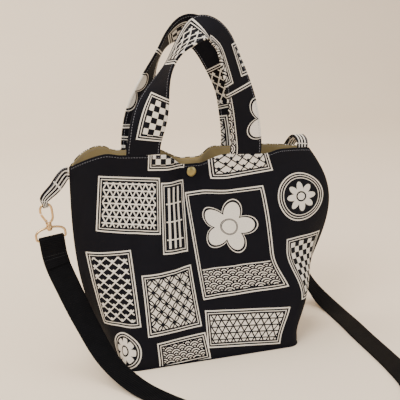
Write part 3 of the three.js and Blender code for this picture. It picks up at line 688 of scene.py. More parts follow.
def makeStrap():
    route = Route(strapPoints, 900)
    length = route.length
    leftAcross = leftTurn @ Vector((1, 0, 0))
    rightAcross = Vector((-1, 0, 0))
    barOffset = strap["ringWire"] + strap["fitGap"] + strap["thickness"] / 2
    plyOffset = (strap["thickness"] + strap["plyGap"]) / 2
    fold, foldSteps = strap["foldLength"], strap["foldSteps"]

    def station(run):
        along = route.along(run)
        flat = Vector((0, 0, 1)).cross(along)
        fromEnd = min(run, length - run)
        landed = smooth(fromEnd / strap["airLength"])
        across = (leftAcross if run < length / 2 else rightAcross).lerp(flat, landed)
        across = (across - along * across.dot(along)).normalized()
        out = along.cross(across).normalized()
        bunched = mix(barOffset, plyOffset, smooth(fromEnd / (0.6 * fold)))
        offset = bunched * (1 - smooth((fromEnd - fold) / fold))
        return route.at(run), along, across, out, offset

    def ply(run, face):
        point, along, across, out, offset = station(run)
        return point + out * (face * offset), across, out * face

    def roundBar(run, direction):
        point, along, across, out, offset = station(run)
        for i in range(1, foldSteps):
            angle = pi * i / foldSteps
            radial = out * (direction * cos(angle)) - along * (direction * sin(angle))
            yield point + radial * barOffset, across, radial

    rings = [ply(fold * i / foldSteps, 1) for i in range(foldSteps, -1, -1)]
    rings += roundBar(0, 1)
    rings += [ply(length * i / strap["steps"], -1) for i in range(strap["steps"] + 1)]
    rings += roundBar(length, -1)
    rings += [ply(length - fold * i / foldSteps, 1) for i in range(foldSteps + 1)]

    edge, half = strap["width"] / 2, strap["thickness"] / 2
    flatEdge, lipEdge = edge - strap["bevel"], edge - strap["lip"]
    section = [(edge, 0), (lipEdge, half * 0.75)]
    section += [(flatEdge - i * flatEdge / 3, half) for i in range(7)]
    section += [(-lipEdge, half * 0.75), (-edge, 0)]
    section += [(w, -h) for w, h in reversed(section[1:-1])]
    points, uvs = [], []
    travelled = 0.0
    for before, (centre, across, out) in zip(rings[:1] + rings, rings):
        travelled += (centre - before[0]).length
        for w, h in section:
            points.append(plan(*(centre + across * w + out * h)))
            uvs.append((travelled * mm, w * mm))
    piece = makeSwept("shoulderStrap", points, len(section), ribbedWebbing, uvs)
    standIn(piece, "shoulder_strap", "webbing", "bag")
    pathSteps = strap["pathSteps"]
    path = [plan(*route.at(length * i / pathSteps)) for i in range(pathSteps + 1)]
    return piece, path, length, station


shoulderStrap, strapPath, strapLength, strapStation = makeStrap()
print("strap made, length", round(strapLength), "mm")


# body of the bag: the walls run from the left seam (f = 0) to the right seam (f = 1)
def basePoint(f):
    halfWidth = bag["baseWidth"] / 2 - wallThickness
    halfDepth = bag["baseDepth"] / 2 - wallThickness
    radius = bag["cornerRadius"] - wallThickness
    side = halfDepth - radius - bag["seamHalfGap"]
    arc = pi / 2 * radius
    half = side + arc + halfWidth - radius
    run = (f if f <= 0.5 else 1 - f) * 2 * half
    mirror = -1 if f <= 0.5 else 1
    if run <= side:
        x, y = halfWidth, bag["seamHalfGap"] + run
    elif run <= side + arc:
        angle = (run - side) / radius
        x, y = halfWidth - radius + radius * cos(angle), halfDepth - radius + radius * sin(angle)
    else:
        x, y = halfWidth - radius - (run - side - arc), halfDepth
    return bag["baseShift"] + mirror * x, y


def sewnHeight(side, x):
    tilt = radians(bag["frontTilt"] if side < 0 else bag["backTilt"])
    return bag["mouthHeight"] - tan(tilt) * (clamp(x, -legOuter, legOuter) + legHalf)


def mouthRun(f):
    # distance from the snap, how far the pinch there has opened, and how far past the handle's leg
    reach = bag["earLeft"] + bag["mouthShift"] if f < 0.5 else bag["earRight"] - bag["mouthShift"]
    x = abs(2 * f - 1) * reach
    opened = smooth((x - pinchHalf) / (legInner - pinchHalf))
    return x, opened, clamp((x - legOuter) / (reach - legOuter))


def rimAt(side, f):
    left = f < 0.5
    x, opened, beyond = mouthRun(f)
    shut = beyond ** (3 - side if left else 1.6)
    away = -x if left else x
    lift = bag["earRise"] * smooth((x - legOuter) / bag["earRiseLength"]) if left or side < 0 else 0
    sewn = mix(rimAtSnap, sewnHeight(side, away), opened) + lift
    y = mix(mix(bag["snapHalfGap"], bag["mouthHalfGap"], opened), bag["seamHalfGap"], shut)
    ear = bag["earHeightLeft"] if left else bag["earHeightRight"]
    z = mix(sewn, ear, beyond ** (3.2 + 0.5 * side if left else 3))
    return bag["mouthShift"] + away, y, z


def backRise(f):
    # the hem of the back stands up a little behind the snap and beside the left leg
    x, opened, beyond = mouthRun(f)
    rise = bag["backRiseSnap"] * (1 - opened)
    if f < 0.5:
        rise += bag["backRiseLeft"] * smooth((x - legOuter) / bag["backRiseLength"]) * (1 - beyond ** 1.5)
    return rise


def wallPoint(side, f, v):
    footX, footY = basePoint(f)
    rimX, rimY, rimZ = rimAt(side, f)
    spread = 1 - (1 - v) ** 3
    lean = min(1, v / pinchStart) ** 1.25
    rightShare = max(0, 2 * f - 1)
    swell = bag["bulgeRight"] * sin(pi * v ** 1.8) * rightShare ** 2
    hip = bag["hipRight"] * sin(pi * min(1, 2 * v)) ** 2 * sin(pi * rightShare ** 1.6)
    z = mix(wallFoot, rimZ, v)
    if side > 0:
        z += backRise(f) * smooth((v - bag["backRiseFrom"]) / (1 - bag["backRiseFrom"]))
    return Vector((mix(footX, rimX, spread) + swell + hip, side * mix(footY, rimY, lean), z))


def wallOut(side, f, v):
    step = 0.002
    along = wallPoint(side, min(1, f + step), v) - wallPoint(side, max(0, f - step), v)
    return Vector((-side * along.y, side * along.x, 0)).normalized()


# how the cloth slumps: soft drapes, dents near the base corners and a little crumple
slump = dict(
    drape=1.7, drapes=4.6, drapeShift=0.12, dent=3.2, crumple=1.1, fine=0.3, fineness=3.6,
    footStill=0.06, hemFrom=0.78, hemFade=0.14, seamStill=0.03,
    # place along and up the wall, half width, half height, share of the depth
    dents=(
        (0.15, 0.2, 0.05, 0.13, 1.0), (0.85, 0.17, 0.05, 0.12, 0.3), (0.36, 0.1, 0.07, 0.06, 0.45),
        (0.66, 0.42, 0.06, 0.2, 0.4), (0.24, 0.55, 0.04, 0.22, 0.5)))


def slumpDepth(side, f, v):
    # the foot, the hem and the side seams keep their place
    still = smooth(v / slump["footStill"]) * (1 - smooth((v - slump["hemFrom"]) / slump["hemFade"]))
    still *= smooth(f / slump["seamStill"]) * smooth((1 - f) / slump["seamStill"])
    wave = sin(2 * pi * (f * slump["drapes"] + slump["drapeShift"] * side))
    drape = slump["drape"] * wave * sin(pi * v) ** 0.7
    dents = 0.0
    for middle, height, wide, tall, share in slump["dents"]:
        dents += share * exp(-((f - middle) / wide) ** 2 - ((v - height) / tall) ** 2)
    spot = Vector((f * 6.2 + 3.7 * side, v * 4.4, 1.9 * side))
    loose = slump["crumple"] * noise.noise(spot) + slump["fine"] * noise.noise(spot * slump["fineness"])
    return still * (drape - slump["dent"] * dents + loose)


# the two layers of a wall; columns are for a whole wall
layers = dict(
    cloth=dict(
        ending="_panel", slot="canvas", material=printedCanvas, near=bag["lining"] + bag["layerGap"],
        far=wallThickness, drop=0, hemmed=True, tuck=bag["footTuck"], columns=128, rows=56),
    lining=dict(
        ending="_lining", slot="lining", material=mustardLining, near=0,
        far=bag["lining"], drop=bag["liningDrop"], hemmed=False, tuck=0, columns=80, rows=36),
)


def columnSteps(layer, side, f):
    # up the outer face, over the hem and down the inner face
    half = (layer["far"] - layer["near"]) / 2
    middle = (layer["far"] + layer["near"]) / 2
    rows = layer["rows"]
    rimZ = rimAt(side, f)[2]
    top = 1 - (layer["drop"] + (half if layer["hemmed"] else 0)) / (rimZ - wallFoot)
    steps = [(top * i / rows, layer["far"], 0) for i in range(rows + 1)]
    if layer["hemmed"]:
        for angle in (radians(degrees) for degrees in (45, 90, 135)):
            steps.append((top, middle + half * cos(angle), half * sin(angle)))
    return steps + [(top * i / rows, layer["near"], 0) for i in range(rows, -1, -1)]


def makeWall(name, layer, side, start, end):
    near, far = layer["near"], layer["far"]
    columns = round(layer["columns"] * (end - start))
    cutAcross, cutUp = printPlan["backCut"] if side > 0 else (0, 0)
    points, uvs = [], []
    for j in range(columns + 1):
        f = mix(start, end, j / columns)
        for v, distance, lift in columnSteps(layer, side, f):
            place = wallPoint(side, f, v)
            outward = wallOut(side, f, v)
            outer = distance > (far + near) / 2
            tuck = layer["tuck"] * (1 - clamp((place.z - wallFoot) / bag["tuckHeight"])) ** 2 if outer else 0
            place += outward * (distance - tuck + slumpDepth(side, f, v))
            place.z += lift
            if layer["hemmed"] and f in (0, 1):  # the outer faces close over the side seam
                closed = (distance - near) / (far - near)
                place.x += (2 * f - 1) * bag["seamRoll"] * abs(outward.y) * closed
                place.y = mix(place.y, side * bag["seamMeet"], closed)
            points.append(plan(*place))
            across = cutAcross - (f - 0.5) * printPlan["wallRun"] * side
            uvs.append((across * mm, (cutUp + place.z) * mm))
    perColumn = len(points) // (columns + 1)
    faces = []
    for j in range(columns):
        a, b = j * perColumn, (j + 1) * perColumn
        for i in range(perColumn):
            k = (i + 1) % perColumn
            faces.append((a + i, b + i, b + k, a + k))
    for j in (0, columns):
        for i in range((perColumn - 1) // 2):
            low, high = j * perColumn + i, (j + 1) * perColumn - 1 - i
            strip = (low, low + 1, high) if high - low == 2 else (low, low + 1, high - 1, high)
            faces.append(strip if j == 0 else tuple(reversed(strip)))
    return makePiece(name, points, turnOutwards(points, faces), layer["material"], uvs)


# where the cloth starts to follow the front wall, and where it follows it fully
opening = dict(
    left=((-33, 57.2, 254), (-15, 26, 259.2)),
    right=((33, 57.2, 254), (14, 24.2, 259.8)))


def openWithMouth(piece, half):
    # the seam and the foot of the side stay with the back, the front follows the front wall
    start, end = (tuple(size * mm for size in place) for place in opening[half])
    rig.blend(piece, "bag", "front_wall", start=start, end=end)


def makeBody():
    for half, start, end in (("left", 0, 0.5), ("right", 0.5, 1)):
        for kind, layer in layers.items():
            piece = makeWall("front" + kind.title() + "." + half, layer, -1, start, end)
            standIn(piece, "front" + layer["ending"], layer["slot"])
            openWithMouth(piece, half)
    for kind, layer in layers.items():
        piece = makeWall("back" + kind.title(), layer, 1, 0, 1)
        standIn(piece, "back" + layer["ending"], layer["slot"], "bag")


# base: a slightly crowned panel, and its lining between the walls
base = dict(
    clothHigh=1.6, clothEdge=0.7, clothCrown=0.5, liningLow=1.75, liningHigh=2.6, liningEdge=0.3, liningGap=0.9,
    cutUp=190, cornerSteps=8)


def makePlate(name, inset, low, high, edge, crown, material):
    radius = bag["cornerRadius"] - inset
    wide = bag["baseWidth"] / 2 - inset - radius
    deep = bag["baseDepth"] / 2 - inset - radius
    steps = base["cornerSteps"]
    outline = []
    for cx, cy, begin in ((1, 1, 0), (-1, 1, 90), (-1, -1, 180), (1, -1, 270)):
        for i in range(steps + 1):
            angle = radians(begin + 90 * i / steps)
            outline.append((cx * wide + radius * cos(angle), cy * deep + radius * sin(angle)))
    # share of the outline, inset of the rounded edge, height
    rings = [
        (0.02, 0, low + crown), (0.55, 0, low + crown * 0.6), (0.92, 0, low + 0.1), (1, edge, low),
        (1, edge * 0.3, low + edge * 0.3), (1, 0, low + edge), (1, 0, high - edge),
        (1, edge * 0.3, high - edge * 0.3), (1, edge, high), (0.92, edge, high), (0.02, edge, high)]
    points, uvs = [], []
    for share, drawn, z in rings:
        for x, y in outline:
            k = share * (1 - drawn / hypot(x, y))
            points.append(plan(bag["baseShift"] + x * k, y * k, z))
            uvs.append((x * k * mm, (y * k + base["cutUp"]) * mm))
    return makeSwept(name, points, len(outline), material, uvs)


def makeBase():
    cloth = makePlate("baseCloth", 0, 0, base["clothHigh"], base["clothEdge"], base["clothCrown"], plainCanvas)
    standIn(cloth, "base_panel", "canvas", "bag")
    lining = makePlate(
        "baseLining", wallThickness + base["liningGap"], base["liningLow"], base["liningHigh"],
        base["liningEdge"], 0, mustardLining)
    standIn(lining, "base_lining", "lining", "bag")


makeBody()
makeBase()
print("body made")


# handles: flat straps that twist at the shoulders and arch over
handle = dict(
    width=bag["handleWidth"], thickness=3.2, rise=151, lean=3, clearance=0.3, sunk=0.4, settle=0.14,
    stitchInset=3, groove=0.22, grooveWidth=0.5, rounding=1.6, ripple=0.5, bendLength=20, steps=150,
    sectionInsets=(0, 0.25, 0.8, 1.5, 2.4, 3, 3.6, 7, 14, 21))
# middle line in leg half spacings and rises, twist in degrees at shares of the length, place cut from the print
handleForm = dict(
    front=dict(
        side=-1, shift=0, tilt=bag["frontTilt"], print=(90, 125), rippleAt=2.3, wall="front_wall", grip="front_grip",
        arch=((-1, 0), (-1, 0.06), (-0.865, 0.385), (-0.65, 0.66), (-0.38, 0.86), (0, 1),
              (0.335, 0.925), (0.605, 0.7), (0.865, 0.385), (1, 0.06), (1, 0)),
        twist=((0, 0), (0.03, 0), (0.33, 95), (0.56, 40), (0.97, 0), (1, 0))),
    back=dict(
        side=1, shift=5, tilt=bag["backTilt"], print=(-34, 124), rippleAt=7.1, wall="bag", grip="back_grip",
        arch=((-1, 0), (-1, 0.06), (-0.895, 0.385), (-0.665, 0.69), (-0.365, 0.9), (-0.045, 0.975),
              (0.305, 0.895), (0.635, 0.69), (0.925, 0.395), (1, 0.06), (1, 0)),
        twist=((0, 0), (0.03, 0), (0.36, 66), (0.55, 32), (0.75, 40), (0.97, 0), (1, 0))),
)


def twistAt(knots, t):
    for (fromShare, fromTwist), (toShare, toTwist) in zip(knots, knots[1:]):
        if t <= toShare:
            return radians(mix(fromTwist, toTwist, smooth((t - fromShare) / (toShare - fromShare))))
    return 0.0


def handleStation(form):
    side = form["side"]
    route = Route([Vector((x * legHalf, 0, h * handle["rise"])) for x, h in form["arch"]])
    legY = bag["mouthHalfGap"] + wallThickness / 2
    lean = tan(radians(handle["lean"]))
    turn = Matrix.Rotation(radians(form["tilt"]), 3, "Y")
    middle = Vector((bag["mouthShift"] + form["shift"], 0, sewnHeight(side, form["shift"]) + handle["clearance"]))

    def station(t):
        point = route.at(t * route.length)
        along = route.along(t * route.length)
        out = Vector((-along.z, 0, along.x))
        settled = smooth(min(t, 1 - t) / handle["settle"])
        twist = twistAt(form["twist"], t)
        flat = Vector((-1 if t < 0.5 else 1, 0, 0)).lerp(out, settled).normalized()
        across = flat * cos(twist) + Vector((0, -side * sin(twist), 0))
        through = along.cross(across).normalized()
        centre = Vector((point.x, side * (legY + lean * point.z), point.z))
        return middle + turn @ centre, turn @ across, turn @ through
    return station, route.length


def handleSection():
    # rounded edges, and a shallow groove under each line of stitches
    edge, half = handle["width"] / 2, handle["thickness"] / 2
    upper = []
    for inset in handle["sectionInsets"]:
        past = max(0, 1 - inset / handle["rounding"])
        groove = handle["groove"] * exp(-((handle["stitchInset"] - inset) / handle["grooveWidth"]) ** 2)
        upper.append((edge - inset, half * sqrt(max(0, 1 - past ** 2)) - groove))
    face = upper + [(-w, h) for w, h in reversed(upper[:-1])]
    return face + [(w, -h) for w, h in reversed(face[1:-1])]


def bendHandle(piece, form):
    # the cloth folds just above the line it is sewn along
    tilt = radians(form["tilt"])
    low = plan(bag["mouthShift"], 0, sewnHeight(form["side"], 0))
    upright = Vector((sin(tilt), 0, cos(tilt)))
    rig.blend(piece, form["wall"], form["grip"], start=low, end=low + upright * (handle["bendLength"] * mm))


def makeHandle(which):
    form = handleForm[which]
    station, length = handleStation(form)
    section = handleSection()
    cutAlong, cutAcross = form["print"]
    steps = handle["steps"]
    points, uvs = [], []
    for i in range(steps + 1):
        t = i / steps
        centre, across, through = station(t)
        if i in (0, steps):
            centre = centre - Vector((0, 0, handle["clearance"] + handle["sunk"]))
        ripple = handle["ripple"] * noise.noise(Vector((t * 9, form["rippleAt"], 0)))
        for w, h in section:
            bow = ripple * (1 - (w / (handle["width"] / 2)) ** 2)
            points.append(plan(*(centre + across * w + through * (h + bow))))
            uvs.append(((t * length + cutAlong) * mm, (w + cutAcross) * mm))
    piece = makeSwept(which + "HandleStrap", points, len(section), printedCanvas, uvs)
    standIn(piece, which + "_handle", "canvas")
    bendHandle(piece, form)
    return station


handleStations = {which: makeHandle(which) for which in handleForm}
print("handles made")


# tabs: strips that leave the ears and fold round the hooks
tab = dict(
    width=15, foldWidth=6.4, ply=1.4, loopHalfGap=3.6, seatGap=0.8, layerGap=0.3, steps=36, foldSteps=14,
    print=(-36, 144), printReach=15, printLength=60)
hook = dict(wire=1.4, halfWidth=6.6, height=28)


def makeTab(name, node, points, acrossAt):
    fineness, steps, foldSteps = 200, tab["steps"], tab["foldSteps"]
    dense = [splinePoint(points, i / fineness) for i in range(fineness + 1)]
    nearOffset, farOffset = (tab["ply"] + tab["layerGap"]) / 2, tab["loopHalfGap"] + tab["ply"] / 2
    stations = []
    for i in range(steps + 1):
        t = i / steps
        k = min(int(t * fineness), fineness - 1)
        along = (dense[k + 1] - dense[max(k - 1, 0)]).normalized()
        across = acrossAt(along)
        apart = along.cross(across).normalized()
        offset = mix(nearOffset, farOffset, smooth((t - 0.3) / 0.7))
        width = mix(tab["width"], tab["foldWidth"], smooth((t - 0.35) / 0.65))
        stations.append((splinePoint(points, t), along, across, apart, offset, width))
    shares = [1, 0.97] + [0.88 - 0.11 * i for i in range(17)] + [-0.97, -1]
    flat = [(w, 0 if abs(w) == 1 else tab["ply"] / 2) for w in shares]
    section = flat + [(w, -h) for w, h in reversed(flat[1:-1])]
    cutAcross, cutUp = tab["print"]
    verts, uvs = [], []

    def addRing(centre, across, through, width, t):
        gathered = 0.15 + 0.4 * smooth(t / 0.7)
        for w, h in section:
            pleat = gathered * cos(3.6 * pi * w) * (1 - w ** 4)
            verts.append(plan(*(centre + across * (w * width / 2) + through * (h + pleat))))
            uvs.append(((cutAcross + w * tab["printReach"]) * mm, (cutUp + tab["printLength"] * t) * mm))

    def addPly(order, face):
        for i in order:
            point, along, across, apart, offset, width = stations[i]
            addRing(point + apart * (face * offset), across, apart * face, width, i / steps)

    addPly(range(steps + 1), -1)
    point, along, across, apart, offset, width = stations[-1]
    for i in range(1, foldSteps):
        angle = pi * i / foldSteps
        radial = apart * -cos(angle) + along * sin(angle)
        addRing(point + radial * farOffset, across, radial, width, 1)
    addPly(range(steps, -1, -1), 1)
    standIn(makeSwept(name, verts, len(section), printedCanvas, uvs), node, "canvas", "bag")
    return stations


def makeTabs():
    rise = -(tab["loopHalfGap"] - tab["seatGap"] - hook["wire"])
    down = Vector((0, 0, -1))
    leftDown = leftTurn @ down
    leftFold = leftTurn @ Vector((0, 0, hook["height"])) + leftSwivel + leftDown * rise
    ear = wallPoint(-1, 0, 1) + wallOut(-1, 0, 1) * wallThickness
    start = Vector((ear.x - tab["ply"], 0, ear.z - tab["width"] / 2))
    leftPoints = [
        start, start + Vector((-4, 0, -0.5)), start.lerp(leftFold, 0.5) + Vector((-1.5, 0, 1.5)),
        leftFold - leftDown * 5, leftFold]
    rightFold = Vector((0, 0, hook["height"])) + rightSwivel + down * rise
    rimX, rimY, rimZ = rimAt(1, 1)
    rightPoints = [
        Vector((rimX - tab["width"] / 2, 0, rimZ + 0.7 * tab["ply"])),
        Vector((rimX - tab["width"] / 2, 2, rimZ + tab["ply"] + 8)),
        Vector((rightSwivel.x - 0.5, rightSwivel.y * 0.25, rimZ + 14)),
        Vector((rightSwivel.x, rightSwivel.y * 0.72, rimZ - 6)),
        rightFold - down * 5, rightFold]

    def upright(along):
        return Vector((0, 1, 0)).cross(along).normalized()

    def sideways(along):
        across = Vector((1, 0, 0))
        return (across - along * across.dot(along)).normalized()
    return dict(
        left=makeTab("leftTab", "left_tab", leftPoints, upright),
        right=makeTab("rightTab", "right_tab", rightPoints, sideways))


tabStations = makeTabs()
print("tabs made")


# clip hardware: smooth castings in place of the faceted solids
casting = dict(
    collarRadius=3.4, collarHeight=3.4, postRadius=1.6, headRadius=2.8, headHeight=1.3,
    bossRadius=3.6, bossHeight=4.6, play=0.3, sideGap=1.2, bevel=0.5, ringCorner=2.2,
    gateTip=(-6.7, 17), gateDepth=2.6, gatePivot=(-2.6, 8.2),
    tongueThickness=1.4, tongueHalf=1.3, tongueShift=0.4, tongueRise=1.6)


def wireRings(path, radius, sides, closedPath=False):
    points = []
    count = len(path)
    for i, point in enumerate(path):
        before = path[(i - 1) % count if closedPath else max(i - 1, 0)]
        after = path[(i + 1) % count if closedPath else min(i + 1, count - 1)]
        along = (after - before).normalized()
        across = Vector((along.z, 0, -along.x))
        for j in range(sides):
            angle = 2 * pi * j / sides
            points.append(point + across * (radius * cos(angle)) + Vector((0, radius * sin(angle), 0)))
    return points, sweptFaces(count, sides, closedPath)


def turnedRings(profile, sides, closedPath=False):
    points = []
    for radius, z in profile:
        radius = max(radius, 0.01)  # a pole stays open enough for its own cap
        for j in range(sides):
            angle = 2 * pi * j / sides
            points.append(Vector((radius * cos(angle), radius * sin(angle), z)))
    return points, sweptFaces(len(profile), sides, closedPath)


def makeCasting(name, shells, swivel, turn):
    points, faces = [], []
    for shellPoints, shellFaces in shells:
        base = len(points)
        points += shellPoints
        faces += [tuple(base + i for i in face) for face in turnOutwards(shellPoints, shellFaces)]
    return makePiece(name, [plan(*(turn @ point + swivel)) for point in points], faces, paleGold)


def hookShells():
    collar, head, post = casting["collarRadius"], casting["headRadius"], casting["postRadius"]
    bevel = casting["bevel"]
    collarFoot = casting["bossHeight"] / 2 + casting["play"]
    collarTop = collarFoot + casting["collarHeight"]
    headTop, headFoot = -collarFoot, -collarFoot - casting["headHeight"]
    turned = turnedRings([
        (0, headFoot), (head - bevel, headFoot), (head, headFoot + bevel), (head, headTop - 0.1),
        (head - 0.1, headTop), (post, headTop), (post, collarFoot), (collar - 0.3, collarFoot),
        (collar, collarFoot + 0.3), (collar - 0.25, collarFoot + 1.1), (collar, collarFoot + 1.7),
        (collar, collarTop - 1), (collar - 0.4, collarTop - 0.35), (collar - 1, collarTop), (0, collarTop)], 40)
    wide, tall = hook["halfWidth"], hook["height"]
    tipX, tipZ = casting["gateTip"]
    bowPoints = [Vector((x, 0, z)) for x, z in (
        (1.2, collarTop - 0.8), (0.82 * wide, collarTop + 3.4), (wide, 0.68 * tall),
        (0.92 * wide, 0.89 * tall), (0.56 * wide, tall), (0, tall), (-0.56 * wide, tall),
        (-0.98 * wide, 0.88 * tall), (-1.08 * wide, 0.72 * tall), (tipX, tipZ + casting["gateDepth"] / 2 + 0.3))]
    bow = wireRings([splinePoint(bowPoints, i / 70) for i in range(71)], hook["wire"], 18)
    pivotX, pivotZ = casting["gatePivot"]
    middle, reach, half = pivotX + casting["tongueShift"], casting["tongueHalf"], casting["tongueThickness"] / 2
    tonguePoints = [
        Vector((middle + x, y, z)) for z in (collarTop - 1, pivotZ + casting["tongueRise"])
        for x, y in ((-reach, -half), (reach, -half), (reach, half), (-reach, half))]
    return turned, bow, (tonguePoints, sweptFaces(2, 4))


def ringShells():
    halfBar = strap["width"] / 2 + casting["sideGap"] + strap["ringWire"]
    tall, corner = strap["ringHeight"], casting["ringCorner"]
    foot = -0.62 * tall
    straight = halfBar - corner
    path = []
    for i in range(49):
        angle = pi - pi * i / 48
        path.append(Vector((halfBar * cos(angle), 0, foot - foot * max(0, sin(angle)) ** 0.8)))
    for cx, begin in ((1, 0), (-1, 270)):
        for i in range(1, 7):
            angle = radians(begin - 90 * i / 6)
            path.append(Vector((
                cx * straight + corner * cos(angle), 0, -tall + corner + corner * sin(angle))))
        if cx == 1:
            path += [Vector((straight - k * straight / 4, 0, -tall)) for k in range(1, 8)]
    half, bore = casting["bossHeight"] / 2, casting["postRadius"] + casting["play"]
    boss, bevel = casting["bossRadius"], casting["bevel"]
    profile = [
        (bore, -half), (boss - bevel, -half), (boss, -half + bevel),
        (boss, half - bevel), (boss - bevel, half), (bore, half)]
    return wireRings(path, strap["ringWire"], 16, True), turnedRings(profile, 36, True)


def dress(node, material):
    mesh = frame["nodes"][node].data
    mesh.materials.clear()
    mesh.materials.append(material)


gateNodes = (("_hook_gate", paleGold), ("_gate_pin", springSteel), ("_gate_spring", springSteel))


def makeClip(which, swivel, turn):
    hookPiece = makeCasting(which + "HookCasting", hookShells(), swivel, turn)
    standIn(hookPiece, which + "_hook_body", "gilt", which + "_hook")
    ringPiece = makeCasting(which + "RingCasting", ringShells(), swivel, turn)
    standIn(ringPiece, which + "_strap_ring", "gilt", "bag")
    for node, material in gateNodes:
        dress(which + node, material)
    return [hookPiece, ringPiece]


strapPieces = makeClip("left", leftSwivel, leftTurn) + makeClip("right", rightSwivel, Matrix.Identity(3))
strapPieces += [frame["nodes"][which + node] for which in ("left", "right") for node, material in gateNodes]
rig.cord(
    shoulderStrap, exit=strapPath[0], length=strapLength * mm, diameter=strap["width"] * mm, far_end="object",
    stiffness="limp", lay="loose", path=strapPath, with_pieces=strapPieces)
print("hardware made")


# snap: a domed cap on each wall, socket and stud between
snap = dict(radius=6.2, height=2.2, gap=0.3)


def makeSnapCaps():
    r, h = snap["radius"], snap["height"]
    profile = [
        (0, 0), (r - 0.5, 0), (r - 0.1, 0.25), (r, 0.6), (r - 0.15, 0.95), (r * 0.9, 1.2), (r * 0.86, 1.18),
        (r * 0.8, h * 0.7), (r * 0.66, h * 0.87), (r * 0.45, h * 0.96), (r * 0.2, h), (0, h)]
    face = bag["snapHalfGap"] + wallThickness + snap["gap"]
    for name, node, side, body in (
            ("frontSnapCap", "snap_cap", -1, "front_wall"), ("backSnapCap", "snap_back_cap", 1, "bag")):
        points, faces = turnedRings(profile, 48)
        placed = [plan(bag["mouthShift"] + p.x, side * (face + p.z), snapHeight + p.y) for p in points]
        standIn(makePiece(name, placed, turnOutwards(placed, faces), snapBrass), node, "snap", body)
    dress("snap_socket", snapBrass)
    dress("snap_stud", snapBrass)


makeSnapCaps()
print("snap made")


# stitches: small bars of thread set along a line by a node tree
stitch = dict(
    pitch=3.3, length=2.5, width=0.55, height=0.4, rimBelow=3.2, rimProud=0.08, rimEnds=(0.006, 0.994),
    handleEnds=(0.008, 0.992), handleSunk=0.12, proud=0.05, tabInset=1.6, tabPitch=2.8, tabReach=26,
    strapRows=(20, 24), strapAcross=(-13, -6, 0, 6, 13), strapPitch=2.6)


def stitchTree():
    tree = bpy.data.node_groups.new("stitchLine", "GeometryNodeTree")
    for name, kind in (
            ("Geometry", "Geometry"), ("Pitch", "Float"), ("Length", "Float"), ("Width", "Float"),
            ("Height", "Float"), ("Thread", "Material")):
        tree.interface.new_socket(name=name, in_out="INPUT", socket_type="NodeSocket" + kind)
    tree.interface.new_socket(name="Geometry", in_out="OUTPUT", socket_type="NodeSocketGeometry")
    source = addNode(tree, "NodeGroupInput").outputs
    along = addNode(tree, "GeometryNodeCurveToPoints", mode="LENGTH")
    setInputs(along, {"Curve": source["Geometry"], "Length": source["Pitch"]})
    ball = addNode(tree, "GeometryNodeMeshUVSphere")
    setInputs(ball, {"Segments": 6, "Rings": 5, "Radius": 0.5})
    size = addNode(tree, "ShaderNodeCombineXYZ")
    setInputs(size, {"X": source["Width"], "Y": source["Height"], "Z": source["Length"]})
    place = addNode(tree, "GeometryNodeInstanceOnPoints")
    setInputs(place, {
        "Points": along.outputs["Points"], "Instance": ball.outputs["Mesh"],
        "Rotation": along.outputs["Rotation"], "Scale": size.outputs[0]})
    real = addNode(tree, "GeometryNodeRealizeInstances")
    feed(real.inputs[0], place.outputs[0])
    paint = addNode(tree, "GeometryNodeSetMaterial")
    setInputs(paint, {"Geometry": real.outputs[0], "Material": source["Thread"]})
    feed(addNode(tree, "NodeGroupOutput").inputs[0], paint.outputs[0])
    return tree


stitchLine = stitchTree()


def makeStitches(name, lines, pitch=stitch["pitch"], thread=paleThread):
    curve = bpy.data.curves.new(name + "Path", "CURVE")
    curve.dimensions = "3D"
    for line in lines:
        spline = curve.splines.new("POLY")
        spline.points.add(len(line) - 1)
        for point, place in zip(spline.points, line):
            point.co = (*place, 1)
    guide = addObject(name + "Path", curve)
    holder = guide.modifiers.new("stitchLine", "NODES")
    holder.node_group = stitchLine
    values = {
        "Pitch": pitch * mm, "Length": stitch["length"] * mm, "Width": stitch["width"] * mm,
        "Height": stitch["height"] * mm, "Thread": thread}
    for item in stitchLine.interface.items_tree:
        if item.in_out == "INPUT" and item.name in values:
            holder[item.identifier] = values[item.name]
    bpy.context.view_layer.update()
    shown = guide.evaluated_get(bpy.context.evaluated_depsgraph_get())
    mesh = bpy.data.meshes.new_from_object(shown)
    mesh.name = name
    piece = addObject(name, mesh)
    guide.modifiers.remove(holder)
    bpy.data.objects.remove(guide)
    bpy.data.curves.remove(curve)
    if not mesh.materials:
        mesh.materials.append(thread)
    mesh.shade_smooth()
    return piece


def rimLines(side, start, end):
    lines = []
    for distance in (wallThickness + stitch["rimProud"], -stitch["rimProud"]):
        line = []
        for i in range(161):
            f = mix(start, end, i / 160)
            v = 1 - stitch["rimBelow"] / (rimAt(side, f)[2] - wallFoot)
            line.append(plan(*(wallPoint(side, f, v) + wallOut(side, f, v) * (distance + slumpDepth(side, f, v)))))
        lines.append(line)
    return lines


def makeRimStitches():
    first, last = stitch["rimEnds"]
    for half, start, end in (("left", first, 0.5), ("right", 0.5, last)):
        openWithMouth(makeStitches("frontRimStitches." + half, rimLines(-1, start, end)), half)
    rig.ride(makeStitches("backRimStitches", rimLines(1, first, last)), "bag")


def stripLines(stations):
    # a line near each edge of a strip, on both its faces
    return [
        [plan(*(centre + across * (edge * aside) + out * (face * proud)))
         for centre, across, out, aside, proud in stations]
        for edge in (-1, 1) for face in (-1, 1)]


def makeHandleStitches(which):
    aside = handle["width"] / 2 - handle["stitchInset"]
    proud = handle["thickness"] / 2 - stitch["handleSunk"]
    shares = [mix(*stitch["handleEnds"], i / 240) for i in range(241)]
    lines = stripLines([(*handleStations[which](share), aside, proud) for share in shares])
    bendHandle(makeStitches(which + "HandleStitches", lines), handleForm[which])


